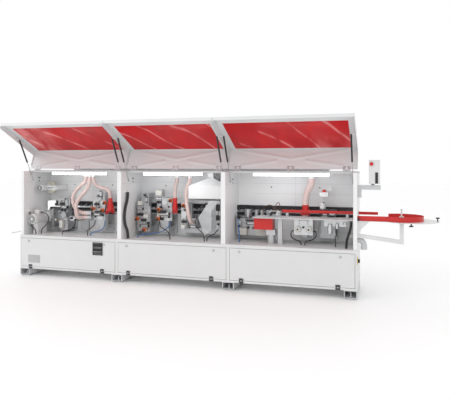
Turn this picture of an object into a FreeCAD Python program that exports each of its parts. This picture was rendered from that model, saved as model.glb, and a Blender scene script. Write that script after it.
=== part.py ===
import FreeCAD, Part
import math
import os

# Edge banding machine: a long cabinet with three lift-up hoods, a welded base with three
# fold-down doors, machining units along the inside and a panel conveyor at the back.
# Millimetres.  +X runs along the machine towards the infeed end, +Y to the conveyor side, +Z up.
# Everything is placed from the left end (x), the post fronts (y) and the floor (z), and the
# whole machine is moved to its reference point, the middle of its footprint, at the end.

V = FreeCAD.Vector
X_AXIS, Y_AXIS, Z_AXIS = V(1, 0, 0), V(0, 1, 0), V(0, 0, 1)

# ---------------------------------------------------------------- driving dimensions
cabinet_length = 4700.0
cabinet_depth = 700.0
bay_split_1, bay_split_2 = 1578.0, 3050.0      # middles of the two dividing posts
door_split_1, door_split_2 = 1550.0, 3120.0    # middles of the strips between the doors
base_ledge = 20.0                              # the base stands out past the posts
floor_gap = 10.0                               # height of the levelling pads
beam_height, beam_width = 94.0, 150.0
base_top = 549.0
deck_thickness = 29.0
wall_top = 1490.0
end_post, middle_post = 44.0, 58.0
skin = 3.0                                     # sheet thickness of covers and walls
back_wall_front = 643.0
work_height = 925.0                            # top of the conveyor pads
panel_gap = 23.0                               # rest height under the pressure rollers
roof_front, roof_bottom, roof_height = 160.0, 1475.0, 25.0

hinge_y, hinge_z = 200.0, 1515.0               # hood hinge line
hood_rear, hood_front = 298.0, 812.0           # lengths of the two hood panels
hood_lean = 3.6                                # closed window panel leans out, degrees
hood_open = 112.7                              # opening angle, degrees
hood_cheek_rear, hood_cheek = 20.0, 75.0
window_side, window_lip, window_bend = 95.0, 160.0, 40.0
window_sheet = 4.0
strut_foot_y, strut_foot_z = 190.0, 1362.0
strut_depth = 60.0                             # hood stud below the window panel
strut_bore_along = 450.0                       # hood stud from the bend, along the panel

hose_radius, wide_hose_radius = 28.0, 42.0
cable_radius, bundle_radius = 6.5, 19.0

door_height = 400.0
door_gap = 4.0
hinge_leaf = 56.0
clearance = 0.4                                # beside faces that slide past each other
fit = 0.05                                     # radial running fit of pins and shafts


# ---------------------------------------------------------------- helpers
def box(x0, x1, y0, y1, z0, z1):
    return Part.makeBox(x1 - x0, y1 - y0, z1 - z0, V(x0, y0, z0))


def rod(start, axis, radius, length):
    return Part.makeCylinder(radius, length, start, axis)


def ring(start, axis, outer, inner, length):
    return rod(start, axis, outer, length).cut(rod(start, axis, inner, length))


def cone(start, axis, radius_a, radius_b, length):
    return Part.makeCone(radius_a, radius_b, length, start, axis)


def plate_x(outline, x0, x1):
    """Flat plate across X from an outline of (y, z) points."""
    face = Part.Face(Part.makePolygon([V(x0, y, z) for y, z in outline + outline[:1]]))
    return face.extrude(V(x1 - x0, 0, 0))


def plate_y(outline, y0, y1):
    """Flat plate across Y from an outline of (x, z) points."""
    face = Part.Face(Part.makePolygon([V(x, y0, z) for x, z in outline + outline[:1]]))
    return face.extrude(V(0, y1 - y0, 0))


def fused(*shapes):
    whole = shapes[0]
    for shape in shapes[1:]:
        whole = whole.fuse(shape)
    return whole.removeSplitter()


def drilled(shape, *tools):
    for tool in tools:
        shape = shape.cut(tool)
    return shape


def turned(shape, angle, centre, axis=X_AXIS):
    copy = shape.copy()
    copy.rotate(centre, axis, angle)
    return copy


NODES = {}


def node(name, *solids):
    NODES.setdefault(name, []).extend(solids)


# ---------------------------------------------------------------- base frame
base_bottom = floor_gap + beam_height
base_front, base_back = -base_ledge, cabinet_depth
door_edges = (0.0, door_split_1, door_split_2, cabinet_length)
door_margin = 25.0
door_bottom = base_bottom + 0.5 * hinge_leaf + 2
frame_wall = 6.0


def door_span(index):
    return door_edges[index] + door_margin, door_edges[index + 1] - door_margin


def make_base():
    shell = box(0, cabinet_length, base_front, base_back, base_bottom, base_top)
    for index in range(3):
        left, right = door_edges[index], door_edges[index + 1]
        inside = box(left + frame_wall, right - frame_wall, base_front + frame_wall,
                     base_back - frame_wall, base_bottom + frame_wall, base_top - frame_wall)
        x0, x1 = door_span(index)
        opening = box(x0 - door_gap, x1 + door_gap, base_front, base_front + frame_wall,
                      door_bottom - door_gap, door_bottom + door_height + door_gap)
        shell = drilled(shell, inside, opening)
    node("base_frame", shell)


beam_positions = (beam_width / 2, door_split_1, door_split_2, cabinet_length - beam_width / 2)


def make_beams():
    wall = 8.0
    for middle in beam_positions:
        x0, x1 = middle - beam_width / 2, middle + beam_width / 2
        beam = box(x0, x1, base_front, base_back, floor_gap, base_bottom)
        beam = beam.cut(box(x0 + wall, x1 - wall, base_front, base_back,
                            floor_gap + wall, base_bottom - wall))
        for y in (base_front + 60, base_back - 60):
            foot = V(middle, y, 0)
            stem_top = floor_gap + 60
            beam = beam.cut(rod(foot, Z_AXIS, 8 + fit, floor_gap + wall))
            pad = fused(rod(foot, Z_AXIS, 35, floor_gap), rod(foot, Z_AXIS, 8, stem_top),
                        rod(foot + V(0, 0, floor_gap + wall), Z_AXIS, 14, 12))
            node("support_beams", pad)
        node("support_beams", beam)


def make_deck():
    deck = box(0, cabinet_length, base_front, base_back, base_top, base_top + deck_thickness)
    node("base_frame", deck)


# ---------------------------------------------------------------- cabinet
deck_top = base_top + deck_thickness
wall_spans = ((0, end_post), (bay_split_1 - middle_post / 2, bay_split_1 + middle_post / 2),
              (bay_split_2 - middle_post / 2, bay_split_2 + middle_post / 2),
              (cabinet_length - end_post, cabinet_length))
wall_inner_left = [span[1] for span in wall_spans[:3]]
wall_inner_right = [span[0] for span in wall_spans[1:]]
slot_bottom, slot_top = work_height - 45, work_height + 105
chain_y0, chain_y1 = 660.0, 740.0


strip_y0, strip_y1, strip_top = 360.0, 440.0, 1015.0
cable_clips = ((end_post, 110, 905, 36), (bay_split_1 + middle_post / 2, 140, 1211, 52))


def make_walls():
    for x0, x1 in wall_spans:
        wall = box(x0, x1, 0, back_wall_front, deck_top, wall_top)
        wall = wall.cut(box(x0 + skin, x1 - skin, skin, back_wall_front - skin, deck_top, wall_top))
        notch = box(x0, x1, roof_front - 1, back_wall_front, roof_bottom, wall_top)
        slot = box(x0, x1, back_wall_front - 90, back_wall_front, slot_bottom, slot_top)
        wall = drilled(wall, notch, slot)
        if x1 == cabinet_length:
            strip_slot = box(x0, x1, strip_y0, strip_y1, table_z, strip_top)
            node("infeed_end_wall", wall.cut(strip_slot))
        else:
            node("cabinet_walls", wall)
    for x, y, z, width in cable_clips:
        node("cabinet_walls", box(x, x + width, y - width / 2, y + width / 2, z, z + 14))


def make_back_wall():
    y0, y1 = back_wall_front, back_wall_front + skin
    upper = box(0, cabinet_length, y0, y1, slot_top, roof_bottom)
    lower = box(0, cabinet_length, y0, y1, deck_top, slot_bottom)
    guides = [box(x - 22, x + 22, y1, chain_y0 - clearance, slot_top + 5, roof_bottom - 5)
              for x in (300, 1600, 3100, 4400)]
    node("cabinet_walls", upper, lower, *guides)


roof_top = roof_bottom + roof_height
spigot_places = ((790.0, 430.0, hose_radius), (852.0, 430.0, hose_radius),
                 (914.0, 430.0, hose_radius), (2235.0, 450.0, hose_radius),
                 (2429.0, 450.0, hose_radius), (4104.0, 470.0, wide_hose_radius))
spigot_drop = 70.0
chimney_x, chimney_y, chimney_side = 2725.0, 500.0, 84.0
duct_x0, duct_x1, duct_y0, duct_y1, duct_height = 620.0, 4330.0, 400.0, 620.0, 190.0
outlet_places = (1100.0, 3700.0)
outlet_radius, outlet_reach = 75.0, 160.0
canopy_half, canopy_y0, canopy_y1 = 292.0, 380.0, 620.0
canopy_bottom, canopy_eave, canopy_ridge = 1120.0, 1290.0, 1400.0


def make_roof():
    tray = box(0, cabinet_length, roof_front, base_back, roof_bottom, roof_top)
    tray = tray.cut(box(skin, cabinet_length - skin, roof_front + skin, base_back - skin,
                        roof_bottom, roof_top - skin))
    for x, y, radius in spigot_places:
        tray = tray.cut(rod(V(x, y, roof_bottom), Z_AXIS, radius + clearance, roof_height))
    half = chimney_side / 2 + clearance
    tray = tray.cut(box(chimney_x - half, chimney_x + half, chimney_y - half, chimney_y + half,
                        roof_bottom, roof_top))
    node("roof_panel", tray)


def make_lights():
    spans = ((406, 1268), (1862, 2702), (3406, 4355))
    for x0, x1 in spans:
        lamp = box(x0, x1, roof_front, roof_front + 42, roof_bottom - 32, roof_bottom)
        node("work_lights", lamp)


def frustum(half_a, half_b, z_a, z_b):
    """Four-sided hood between two rectangles given as half sizes about the chimney."""
    rims = []
    for (hx, hy), z in ((half_a, z_a), (half_b, z_b)):
        corners = [V(chimney_x + sx * hx, chimney_y + sy * hy, z)
                   for sx, sy in ((-1, -1), (1, -1), (1, 1), (-1, 1))]
        rims.append(Part.makePolygon(corners + corners[:1]))
    return Part.makeLoft(rims, True, True)


def make_extraction():
    duct = box(duct_x0, duct_x1, duct_y0, duct_y1, roof_top, roof_top + duct_height)
    hollow = box(duct_x0 + skin, duct_x1 - skin, duct_y0 + skin, duct_y1 - skin,
                 roof_top + skin, roof_top + duct_height - skin)
    stubs, bores = [], [hollow]
    for x, y, radius in spigot_places:
        low = V(x, y, roof_bottom - spigot_drop)
        stubs.append(rod(low, Z_AXIS, radius, roof_top + skin - low.z))
        bores.append(rod(low, Z_AXIS, radius - skin, roof_top + skin - low.z))
    for x in outlet_places:
        start = V(x, duct_y1 - skin, roof_top + duct_height / 2)
        stubs.append(rod(start, Y_AXIS, outlet_radius, outlet_reach + skin))
        bores.append(rod(start, Y_AXIS, outlet_radius - skin, outlet_reach + skin))
    half = chimney_side / 2
    chimney = box(chimney_x - half, chimney_x + half, chimney_y - half, chimney_y + half,
                  canopy_ridge, roof_top + skin)
    bores.append(box(chimney_x - half + skin, chimney_x + half - skin, chimney_y - half + skin,
                     chimney_y + half - skin, canopy_ridge, roof_top + skin))
    node("extraction_duct", drilled(fused(duct, chimney, *stubs), *bores))

    half_y = (canopy_y1 - canopy_y0) / 2
    outer = fused(box(chimney_x - canopy_half, chimney_x + canopy_half, chimney_y - half_y,
                      chimney_y + half_y, canopy_bottom, canopy_eave),
                  frustum((canopy_half, half_y), (half, half), canopy_eave, canopy_ridge))
    inner = fused(box(chimney_x - canopy_half + skin, chimney_x + canopy_half - skin,
                      chimney_y - half_y + skin, chimney_y + half_y - skin,
                      canopy_bottom, canopy_eave),
                  frustum((canopy_half - skin, half_y - skin), (half - skin, half - skin),
                          canopy_eave, canopy_ridge))
    node("extraction_duct", outer.cut(inner))


# ---------------------------------------------------------------- hoods and struts
hood_gap = 3.0
hood_spans = [(a + hood_gap, b - hood_gap) for a, b in
              zip((0.0, bay_split_1, bay_split_2), (bay_split_1, bay_split_2, cabinet_length))]
hinge_axis_radius, hinge_pin_radius, knuckle_half = 8.0, 4.0, 45.0
hinge = V(0, hinge_y, hinge_z)
panel_direction = (-math.sin(math.radians(hood_lean)), -math.cos(math.radians(hood_lean)))
inward = (-panel_direction[1], panel_direction[0])


def on_panel(along, depth):
    """Closed hood: (y, z) at a distance down the window panel and a depth inside it."""
    return (hinge_y - hood_rear + along * panel_direction[0] + depth * inward[0],
            hinge_z + along * panel_direction[1] + depth * inward[1])


def opened(shape):
    return turned(shape, -hood_open, hinge)


def knuckle_spots(x0, x1):
    return [x0 + share * (x1 - x0) for share in (0.08, 0.5, 0.92)]


def make_hood(index):
    x0, x1 = hood_spans[index]
    corner = (hinge_y - hood_rear, hinge_z)
    rear = plate_x([(hinge_y - 12, hinge_z), corner, (corner[0], corner[1] - skin),
                    (hinge_y - 12, hinge_z - skin)], x0, x1)
    front = plate_x([on_panel(0, 0), on_panel(hood_front, 0), on_panel(hood_front, skin),
                     on_panel(0, skin)], x0, x1)
    opening = plate_x([on_panel(window_bend, 0), on_panel(hood_front - window_lip, 0),
                       on_panel(hood_front - window_lip, skin), on_panel(window_bend, skin)],
                      x0 + window_side, x1 - window_side)
    lip = plate_x([on_panel(hood_front - skin, 0), on_panel(hood_front, 0),
                   on_panel(hood_front, 45), on_panel(hood_front - skin, 45)], x0, x1)
    cheek_line = [(hinge_y - 60, hinge_z), corner, on_panel(hood_front, 0),
                  on_panel(hood_front, hood_cheek),
                  on_panel(hood_cheek_rear, hood_cheek + 8),
                  (hinge_y - 60, hinge_z - hood_cheek_rear)]
    cheeks = [plate_x(cheek_line, x, x + skin) for x in (x0, x1 - skin)]
    pieces = [front.cut(opening), lip] + cheeks
    for x in knuckle_spots(x0, x1):
        for side in (-1, 1):
            start = x + side * (knuckle_half - 14) - 14
            barrel = rod(V(start, hinge_y, hinge_z), X_AXIS, hinge_axis_radius, 28)
            tab = box(start, start + 28, hinge_y - 40, hinge_y, hinge_z - skin, hinge_z + skin)
            pieces.append(barrel.fuse(tab))
    hood = fused(rear, *pieces)
    for x in knuckle_spots(x0, x1):
        hood = hood.cut(rod(V(x - knuckle_half, hinge_y, hinge_z), X_AXIS,
                            hinge_pin_radius + fit, 2 * knuckle_half))
    for x, side in strut_studs(index):
        y, z = on_panel(strut_bore_along, strut_depth)
        inner_face = x - side * (strut_radius + clearance)
        cheek_face = x0 + skin if side > 0 else x1 - skin
        low, high = sorted((inner_face, cheek_face))
        hood = hood.fuse(rod(V(low, y, z), X_AXIS, 7, high - low))
    node("hood_%d" % (index + 1), opened(hood))

    sheet = plate_x([on_panel(window_bend - 15, skin), on_panel(hood_front - window_lip + 15, skin),
                     on_panel(hood_front - window_lip + 15, skin + window_sheet),
                     on_panel(window_bend - 15, skin + window_sheet)],
                    x0 + window_side - 15, x1 - window_side + 15)
    node("hood_window_%d" % (index + 1), opened(sheet))


def make_hinge_rail():
    rail = box(end_post, cabinet_length - end_post, hinge_y + 8, hinge_y + 38, roof_top,
               roof_top + 6)
    node("cover_hinges", rail)
    for x0, x1 in hood_spans:
        for x in knuckle_spots(x0, x1):
            half = knuckle_half - 28 - clearance
            block = box(x - half, x + half, hinge_y - 6, hinge_y + 6, roof_top, hinge_z)
            barrel = rod(V(x - half, hinge_y, hinge_z), X_AXIS, hinge_axis_radius, 2 * half)
            pin = rod(V(x - knuckle_half - 2, hinge_y, hinge_z), X_AXIS, hinge_pin_radius,
                      2 * knuckle_half + 4)
            node("cover_hinges", fused(block, barrel, pin))


strut_radius, strut_rod_radius, strut_body_length = 11.0, 5.0, 360.0
strut_wall_gap = 16.0
strut_grip, strut_end = 60.0, 20.0               # rod inside the cylinder, solid cylinder end


def strut_studs(index):
    """Strut middles of one hood, and the side (-1 or 1) on which its wall lies."""
    left = wall_inner_left[index] + strut_wall_gap
    right = wall_inner_right[index] - strut_wall_gap
    return ((left, 1), (right, -1))


def strut_geometry():
    foot = V(0, strut_foot_y, strut_foot_z)
    y, z = on_panel(strut_bore_along, strut_depth)
    closed = V(0, y, z)
    turn = FreeCAD.Rotation(X_AXIS, -hood_open)
    top = hinge + turn.multVec(closed - hinge)
    return foot, top, closed


strut_foot, strut_top, strut_top_closed = strut_geometry()
strut_axis = V(strut_top - strut_foot).normalize()
strut_open_length = (strut_top - strut_foot).Length
strut_closed_length = (strut_top_closed - strut_foot).Length
strut_swing = math.degrees((strut_top - strut_foot).getAngle(strut_top_closed - strut_foot))


def make_struts(index):
    number = index + 1
    for x, side in strut_studs(index):
        foot = V(x, strut_foot_y, strut_foot_z)
        top = foot + strut_axis * strut_open_length
        body_start = top - strut_axis * strut_body_length
        rod_top = body_start + strut_axis * strut_grip
        eye_start = foot - X_AXIS * 7
        stem = rod(foot + strut_axis * 6, strut_axis, strut_rod_radius,
                   (rod_top - foot).Length - 6)
        eye = rod(eye_start, X_AXIS, 10, 14).fuse(stem)
        node("strut_rods_%d" % number, eye.cut(rod(eye_start, X_AXIS, 5 + fit, 14)))
        bore = rod(body_start, strut_axis, strut_rod_radius + fit, strut_body_length - strut_end)
        barrel = rod(body_start, strut_axis, strut_radius, strut_body_length).cut(bore)
        node("strut_cylinders_%d" % number, barrel)
        wall_face = x - side * strut_wall_gap
        low, high = sorted((wall_face, x + side * 9))
        node("cabinet_walls", rod(V(low, strut_foot_y, strut_foot_z), X_AXIS, 5, high - low))


# ---------------------------------------------------------------- base doors
door_sheet, door_depth = 2.0, 22.0
hinge_bar_radius = 6.0
hinge_bar_y = base_front - door_sheet - hinge_bar_radius
hinge_bar_z = door_bottom
lock_radius = 14.0


def make_door(index):
    x0, x1 = door_span(index)
    z0, z1 = door_bottom, door_bottom + door_height
    tray = box(x0, x1, base_front - door_sheet, base_front + door_depth, z0, z1)
    tray = tray.cut(box(x0 + door_sheet, x1 - door_sheet, base_front, base_front + door_depth,
                        z0 + door_sheet, z1 - door_sheet))
    if index == 0:
        fan = box(x1 - 326, x1 - 198, base_front - door_sheet, base_front, z1 - 170, z1 - 30)
        tray = tray.cut(fan)
        frame = box(x1 - 338, x1 - 186, base_front - door_sheet - 5, base_front - door_sheet,
                    z1 - 185, z1 - 15)
        hub = box(x1 - 326, x1 - 198, base_front - door_sheet - 5, base_front - door_sheet,
                  z1 - 170, z1 - 30)
        louvres = [box(x1 - 326, x1 - 198, base_front - door_sheet - 5,
                       base_front - door_sheet, z, z + 8)
                   for z in range(int(z1 - 160), int(z1 - 40), 20)]
        node("base_door_1", fused(frame.cut(hub), *louvres))
        for row in range(8):
            z = z0 + 60 + row * 14
            tray = tray.cut(box(x0 + 110, x0 + 310, base_front - door_sheet, base_front, z, z + 5))
    for x in (x0 + 125, x1 - 165):
        head = rod(V(x, base_front - door_sheet, z1 - 40), Y_AXIS * -1, lock_radius, 4)
        node("base_door_%d" % (index + 1), head)
    for x in hinge_spots(index):
        pieces = [box(x - hinge_leaf / 2, x + hinge_leaf / 2, base_front - door_sheet - 4,
                      base_front - door_sheet, z0 + 7.6, z0 + hinge_leaf / 2)]
        for side in (-1, 1):
            start = x + side * (hinge_leaf / 2 - 9) - 9
            pieces.append(rod(V(start, hinge_bar_y, hinge_bar_z), X_AXIS, hinge_bar_radius, 18))
            pieces.append(box(start, start + 18, base_front - door_sheet - 4,
                              base_front - door_sheet, z0 + 2, z0 + 8))
        leaf = fused(*pieces).cut(rod(V(x - hinge_leaf / 2, hinge_bar_y, hinge_bar_z), X_AXIS,
                                      3 + fit, hinge_leaf))
        node("base_door_%d" % (index + 1), leaf)
    node("base_door_%d" % (index + 1), tray)


def hinge_spots(index):
    x0, x1 = door_span(index)
    return x0 + 150, x1 - 195


def make_door_hinges():
    for index in range(3):
        for x in hinge_spots(index):
            leaf = box(x - hinge_leaf / 2, x + hinge_leaf / 2, base_front - 4, base_front,
                       base_bottom, hinge_bar_z - 7.6)
            neck = box(x - 9.6, x + 9.6, base_front - 10, base_front, hinge_bar_z - 9, hinge_bar_z)
            barrel = rod(V(x - 9.6, hinge_bar_y, hinge_bar_z), X_AXIS,
                         hinge_bar_radius - clearance, 19.2)
            pin = rod(V(x - hinge_leaf / 2, hinge_bar_y, hinge_bar_z), X_AXIS, 3, hinge_leaf)
            node("cover_hinges", fused(leaf, neck.cut(box(x - 9.6, x + 9.6, base_front - 2,
                                                          base_front, hinge_bar_z - 7.6,
                                                          hinge_bar_z)), barrel, pin))


# ---------------------------------------------------------------- conveyor side
pad_height = 28.0


def make_conveyor():
    x0, x1 = 0.0, cabinet_length
    pads_bottom = work_height - pad_height
    beam = box(x0, x1, chain_y0 - 10, chain_y1 + 40, 700, pads_bottom)
    feet = [box(x - 40, x + 40, chain_y0 - 10, base_back, deck_top, 700)
            for x in (300, 1550, 3100, 4400)]
    node("conveyor_beam", fused(beam, *feet))
    pitch, length = 78.0, 74.0
    for number in range(int((x1 - x0) // pitch)):
        start = x0 + 6 + number * pitch
        node("conveyor_pads", box(start, start + length, chain_y0, chain_y1, pads_bottom,
                                  work_height))


roller_radius, roller_pitch = 20.0, 90.0
press_bottom = work_height + panel_gap


def make_pressure_beam():
    axle_z = press_bottom + roller_radius
    y0, y1 = chain_y0 + 4, chain_y1 - 4
    top = axle_z + roller_radius + 8
    x0, x1 = 60.0, cabinet_length - 60
    flange = box(x0, x1, y1, y1 + 4, axle_z - 10, top + 128)
    web = box(x0, x1, y0 - 4, y1, top + 120, top + 128)
    count = int((x1 - x0 - 100) // roller_pitch) + 1
    holes = [V(x0 + 50 + number * roller_pitch, y0, axle_z) for number in range(count)]
    beam = fused(web, flange)
    drills = Part.makeCompound([rod(spot, Y_AXIS, 6 + fit, y1 - y0 + 4) for spot in holes])
    node("pressure_beam", beam.cut(drills))
    for spot in holes:
        roller = fused(rod(spot, Y_AXIS, roller_radius, y1 - y0 - 2),
                       rod(spot, Y_AXIS, 6, y1 - y0 + 4))
        node("pressure_beam", roller)


rail_y, rail_radius = 1260.0, 16.0


def make_support_rail():
    top = work_height
    axle_z, floor = top - rail_radius, top - 2 * rail_radius - 14
    x0, x1, axle_radius = 150.0, cabinet_length - 100, 4.0
    rail = box(x0, x1, rail_y - 20, rail_y + 20, floor - 30, axle_z + 8)
    rail = rail.cut(box(x0, x1, rail_y - 16, rail_y + 16, floor, axle_z + 8))
    spots = [V(200 + number * 186.0, rail_y - 20, axle_z) for number in range(24)]
    holes = Part.makeCompound([rod(spot, Y_AXIS, axle_radius + fit, 40) for spot in spots])
    arms = [box(x - 20, x + 20, chain_y1 + 40, rail_y - 20, top - 150, top - 110)
            for x in (600, 2350, 4100)]
    ups = [box(x - 20, x + 20, rail_y - 60, rail_y - 20, top - 110, top - 40)
           for x in (600, 2350, 4100)]
    node("support_rail", fused(rail, *ups, *arms).cut(holes))
    for spot in spots:
        node("support_rail", fused(rod(spot, Y_AXIS, axle_radius, 40),
                                   rod(spot + V(0, 5, 0), Y_AXIS, rail_radius - clearance, 30)))


# ---------------------------------------------------------------- machining units
unit_back = 603.0                               # front face of the saddles on the back wall
unit_edge = 550.0                               # nothing above the pads reaches past this


def saddle(x0, x1, z0=610.0, z1=870.0):
    return box(x0, x1, unit_back, back_wall_front, z0, z1)


buff_x, buff_z, buff_top_z = 150.0, 800.0, 1240.0
buff_motor_radius, small_motor_radius = 68.0, 49.0
buff_shaft = 12.0


def make_buffing():
    pedestal = box(buff_x - 35, buff_x + 35, 120, 330, deck_top, buff_z - 50)
    motor = rod(V(buff_x, 50, buff_z), Y_AXIS, buff_motor_radius, 330)
    flange = rod(V(buff_x, 380, buff_z), Y_AXIS, 80, 20)
    terminals = box(buff_x - 35, buff_x + 35, 150, 250, buff_z + 40, buff_z + 112)
    lower = fused(pedestal, motor, flange, terminals)
    bore = rod(V(buff_x, 380, buff_z), Y_AXIS, buff_shaft + fit, 20)
    node("buffing_motors", lower.cut(bore))

    small = rod(V(buff_x, 228, buff_top_z), Y_AXIS, small_motor_radius, 200)
    bars = [box(buff_x, 345, 330, 352, z, z + 22) for z in (buff_top_z - 32, buff_top_z + 10)]
    bracket = box(300, 345, 352, back_wall_front, buff_top_z - 32, buff_top_z + 32)
    upper = fused(small, bracket, *bars)
    bore = rod(V(buff_x, 408, buff_top_z), Y_AXIS, buff_shaft + fit, 20)
    node("buffing_motors", upper.cut(bore))

    for name, z, start, wheel_y, radius in (("buff_wheel_lower", buff_z, 381.0, 555.0, 98.0),
                                            ("buff_wheel_upper", buff_top_z, 409.0, 470.0, 92.0)):
        shaft = rod(V(buff_x, start, z), Y_AXIS, buff_shaft, wheel_y + 40 - start)
        wheel = rod(V(buff_x, wheel_y, z), Y_AXIS, radius, 34)
        node(name, fused(shaft, wheel))

    tunnel = ring(V(buff_x, 400, buff_z), Y_AXIS, 30, 26, 140)
    face = ring(V(buff_x, 540, buff_z), Y_AXIS, 105, 26, 3)
    drum = ring(V(buff_x, 540, buff_z), Y_AXIS, 105, 102, 60)
    mouth = box(buff_x - 60, buff_x + 60, 543, 600, buff_z + 60, buff_z + 110)
    node("buffing_motors", fused(tunnel, face, drum).cut(mouth))


def make_scrapers():
    column = box(360, 480, 430, unit_edge, 600, 1095)
    arm = box(360, 480, unit_edge, unit_back, 640, 800)
    head = box(301, 511, 450, 530, 960, 1095)
    nose = box(400, 440, unit_edge, 600, 955, 985)
    plate = box(280, 290, 350, 600, 660, 940)
    tie = box(290, 360, 470, 500, 700, 900)
    cylinder = rod(V(440, 380, 836), Y_AXIS, 45, 50)
    node("scraper_unit", fused(saddle(300, 520), column, arm, head, nose, plate, tie, cylinder))
    glue_scraper = fused(box(600, 720, 300, unit_back, 760, 830), saddle(590, 730))
    node("scraper_unit", glue_scraper)


cutter_y, spindle_radius, spindle_motor_radius = 560.0, 10.0, 40.0


def make_trim_unit(name, x, plate_x0, plate_x1, plate_z0, plate_z1, *extra):
    """Two upright spindle motors, one below and one above the panel edge, on a C frame."""
    low_arm = box(x - 60, x + 60, 470, unit_back, 640, 704)
    column = box(x - 60, x + 60, 420, 500, 640, 1180)
    high_arm = box(x - 60, x + 60, 500, 600, 1120, 1180)
    low_motor = rod(V(x, cutter_y, 704), Z_AXIS, spindle_motor_radius, 156)
    high_motor = rod(V(x, cutter_y, 1016), Z_AXIS, spindle_motor_radius, 104)
    plate = box(plate_x0, plate_x1, 400, 420, plate_z0, plate_z1)
    frame = fused(saddle(x - 110, x + 110), low_arm, column, high_arm, low_motor, high_motor,
                  plate, *extra)
    for z in (840, 1016):
        frame = frame.cut(rod(V(x, cutter_y, z), Z_AXIS, spindle_radius + fit, 20))
    node(name + "_unit", frame)
    low_shaft = rod(V(x, cutter_y, 841), Z_AXIS, spindle_radius, work_height - 20 - 841)
    low_cutter = rod(V(x, cutter_y, work_height - 40), Z_AXIS, 30, 20)
    high_shaft = rod(V(x, cutter_y, press_bottom + 10), Z_AXIS, spindle_radius,
                     1035 - press_bottom - 10)
    high_cutter = rod(V(x, cutter_y, press_bottom + 10), Z_AXIS, 30, 20)
    node(name + "_cutters", fused(low_shaft, low_cutter), fused(high_shaft, high_cutter))


fine_x, rough_x, corner_x = 1050.0, 1760.0, 2060.0


def make_trimming():
    left_ports = [ring(V(870, y, z), X_AXIS, hose_radius, hose_radius - 3, 60)
                  for y, z in ((365.0, 872.0), (365.0, 812.0))]
    port_plate = box(930, 936, 330, 400, 775, 905)
    ear = box(1130, 1150, 400, 420, 1005, 1060)
    make_trim_unit("fine_trim", fine_x, 930, 1130, 775, 1060, port_plate, ear, *left_ports)
    make_trim_unit("rough_trim", rough_x, 1650, 1850, 640, 1000)
    column = box(corner_x - 60, corner_x + 60, 420, 500, 640, 1120)
    low_arm = box(corner_x - 60, corner_x + 60, 500, unit_back, 640, 704)
    plate = box(1960, 2180, 400, 420, 800, 1120)
    motor = rod(V(2030, 350, 901), X_AXIS, 28, 120)
    carrier = box(2070, 2110, 350, 400, 880, 920)
    box_top = box(1930, 2020, 430, 520, 1140, 1230)
    post = box(1965, 1985, 460, 480, 1120, 1140)
    shelf = box(1930, 2060, 430, 500, 1100, 1120)
    node("rough_trim_unit", fused(saddle(corner_x - 110, corner_x + 110), column, low_arm, plate,
                                  motor, carrier, shelf, post, box_top))


indicator_places = ((1142, 350, 1033), (964, 335, 944), (1111, 335, 926), (1686, 300, 824),
                    (1818, 250, 681), (2014, 300, 961), (2007, 300, 834), (2172, 350, 1086),
                    (2365, 350, 1018))


def make_indicators():
    for x, y, z in indicator_places:
        case = box(x - 20, x + 20, y, y + 30, z - 24, z + 24)
        spindle = rod(V(x, y + 30, z), Y_AXIS, 7, 400 - y - 30)
        knob = rod(V(x, y - 26, z - 4), Y_AXIS, 17, 26)
        node("position_indicators", fused(case, spindle, knob))


saw_x, saw_y, saw_z = 2600.0, 500.0, 980.0


def make_end_trim():
    beam = box(2300, 2860, 470, unit_back, 640, 704)
    guides = [box(x, x + 40, 500, unit_edge, 704, 1090) for x in (2400, 2760)]
    cap = box(2400, 2800, 500, unit_edge, 1050, 1090)
    front = box(2320, 2410, 400, 500, 704, 1060)
    drive = box(saw_x + 60, 2762, 440, 540, saw_z - 50, saw_z + 50)
    plate = box(2700, 2880, 420, 440, 640, 1090)
    foot = box(2700, 2860, 440, 470, 640, 704)
    base = box(2350, 2390, 470, 560, 704, 1060)
    flange = box(2410, 2530, 460, 470, 740, 840)
    port = rod(V(2490, 400, 790), Y_AXIS, hose_radius, 60)
    unit = fused(saddle(2300, 2860), beam, *guides, cap, front, drive, plate, foot, base,
                 flange, port)
    unit = unit.cut(rod(V(2490, 400, 790), Y_AXIS, hose_radius - skin, 60))
    bore = rod(V(saw_x + 60, saw_y, saw_z), X_AXIS, spindle_radius + fit, 40)
    node("end_trim_unit", unit.cut(bore))
    shaft = rod(V(saw_x, saw_y, saw_z), X_AXIS, spindle_radius, 99)
    blade = rod(V(saw_x, saw_y, saw_z), X_AXIS, 62, 3)
    node("end_trim_saw", fused(shaft, blade))

    outline = [(2780, 1105), (2905, 1105), (2800, 965), (2800, 715), (2700, 630), (2612, 870)]
    cover = plate_y(outline, 280, 283)
    posts = [rod(V(x, 283, z), Y_AXIS, 8, 137) for x, z in ((2770, 1040), (2720, 760), (2770, 880))]
    node("end_trim_cover", fused(cover, *posts))


press_x = 3240.0


def make_edge_press():
    body = box(3090, 3560, 480, unit_back, 640, 860)
    deck_blocks = [box(x, x + 60, 430, 480, 700, 900) for x in (3110, 3420)]
    bore = rod(V(press_x, 540, 820), Z_AXIS, 15 + fit, 40)
    unit = fused(saddle(3090, 3560), body, *deck_blocks).cut(bore)
    node("edge_press_unit", unit)
    drum = fused(rod(V(press_x, 540, 884), Z_AXIS, 52, 100),
                 rod(V(press_x, 540, 821), Z_AXIS, 15, 80))
    node("main_press_roller", drum)
    for x in (3350, 3430, 3510):
        node("edge_press_unit", fused(rod(V(x, 560, 860), Z_AXIS, 9, 30),
                                      rod(V(x, 560, 884), Z_AXIS, 26, 90)))


table_z, table_thickness = 905.0, 12.0
table_x0, table_y0, table_y1 = 3404.0, 130.0, 420.0


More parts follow.
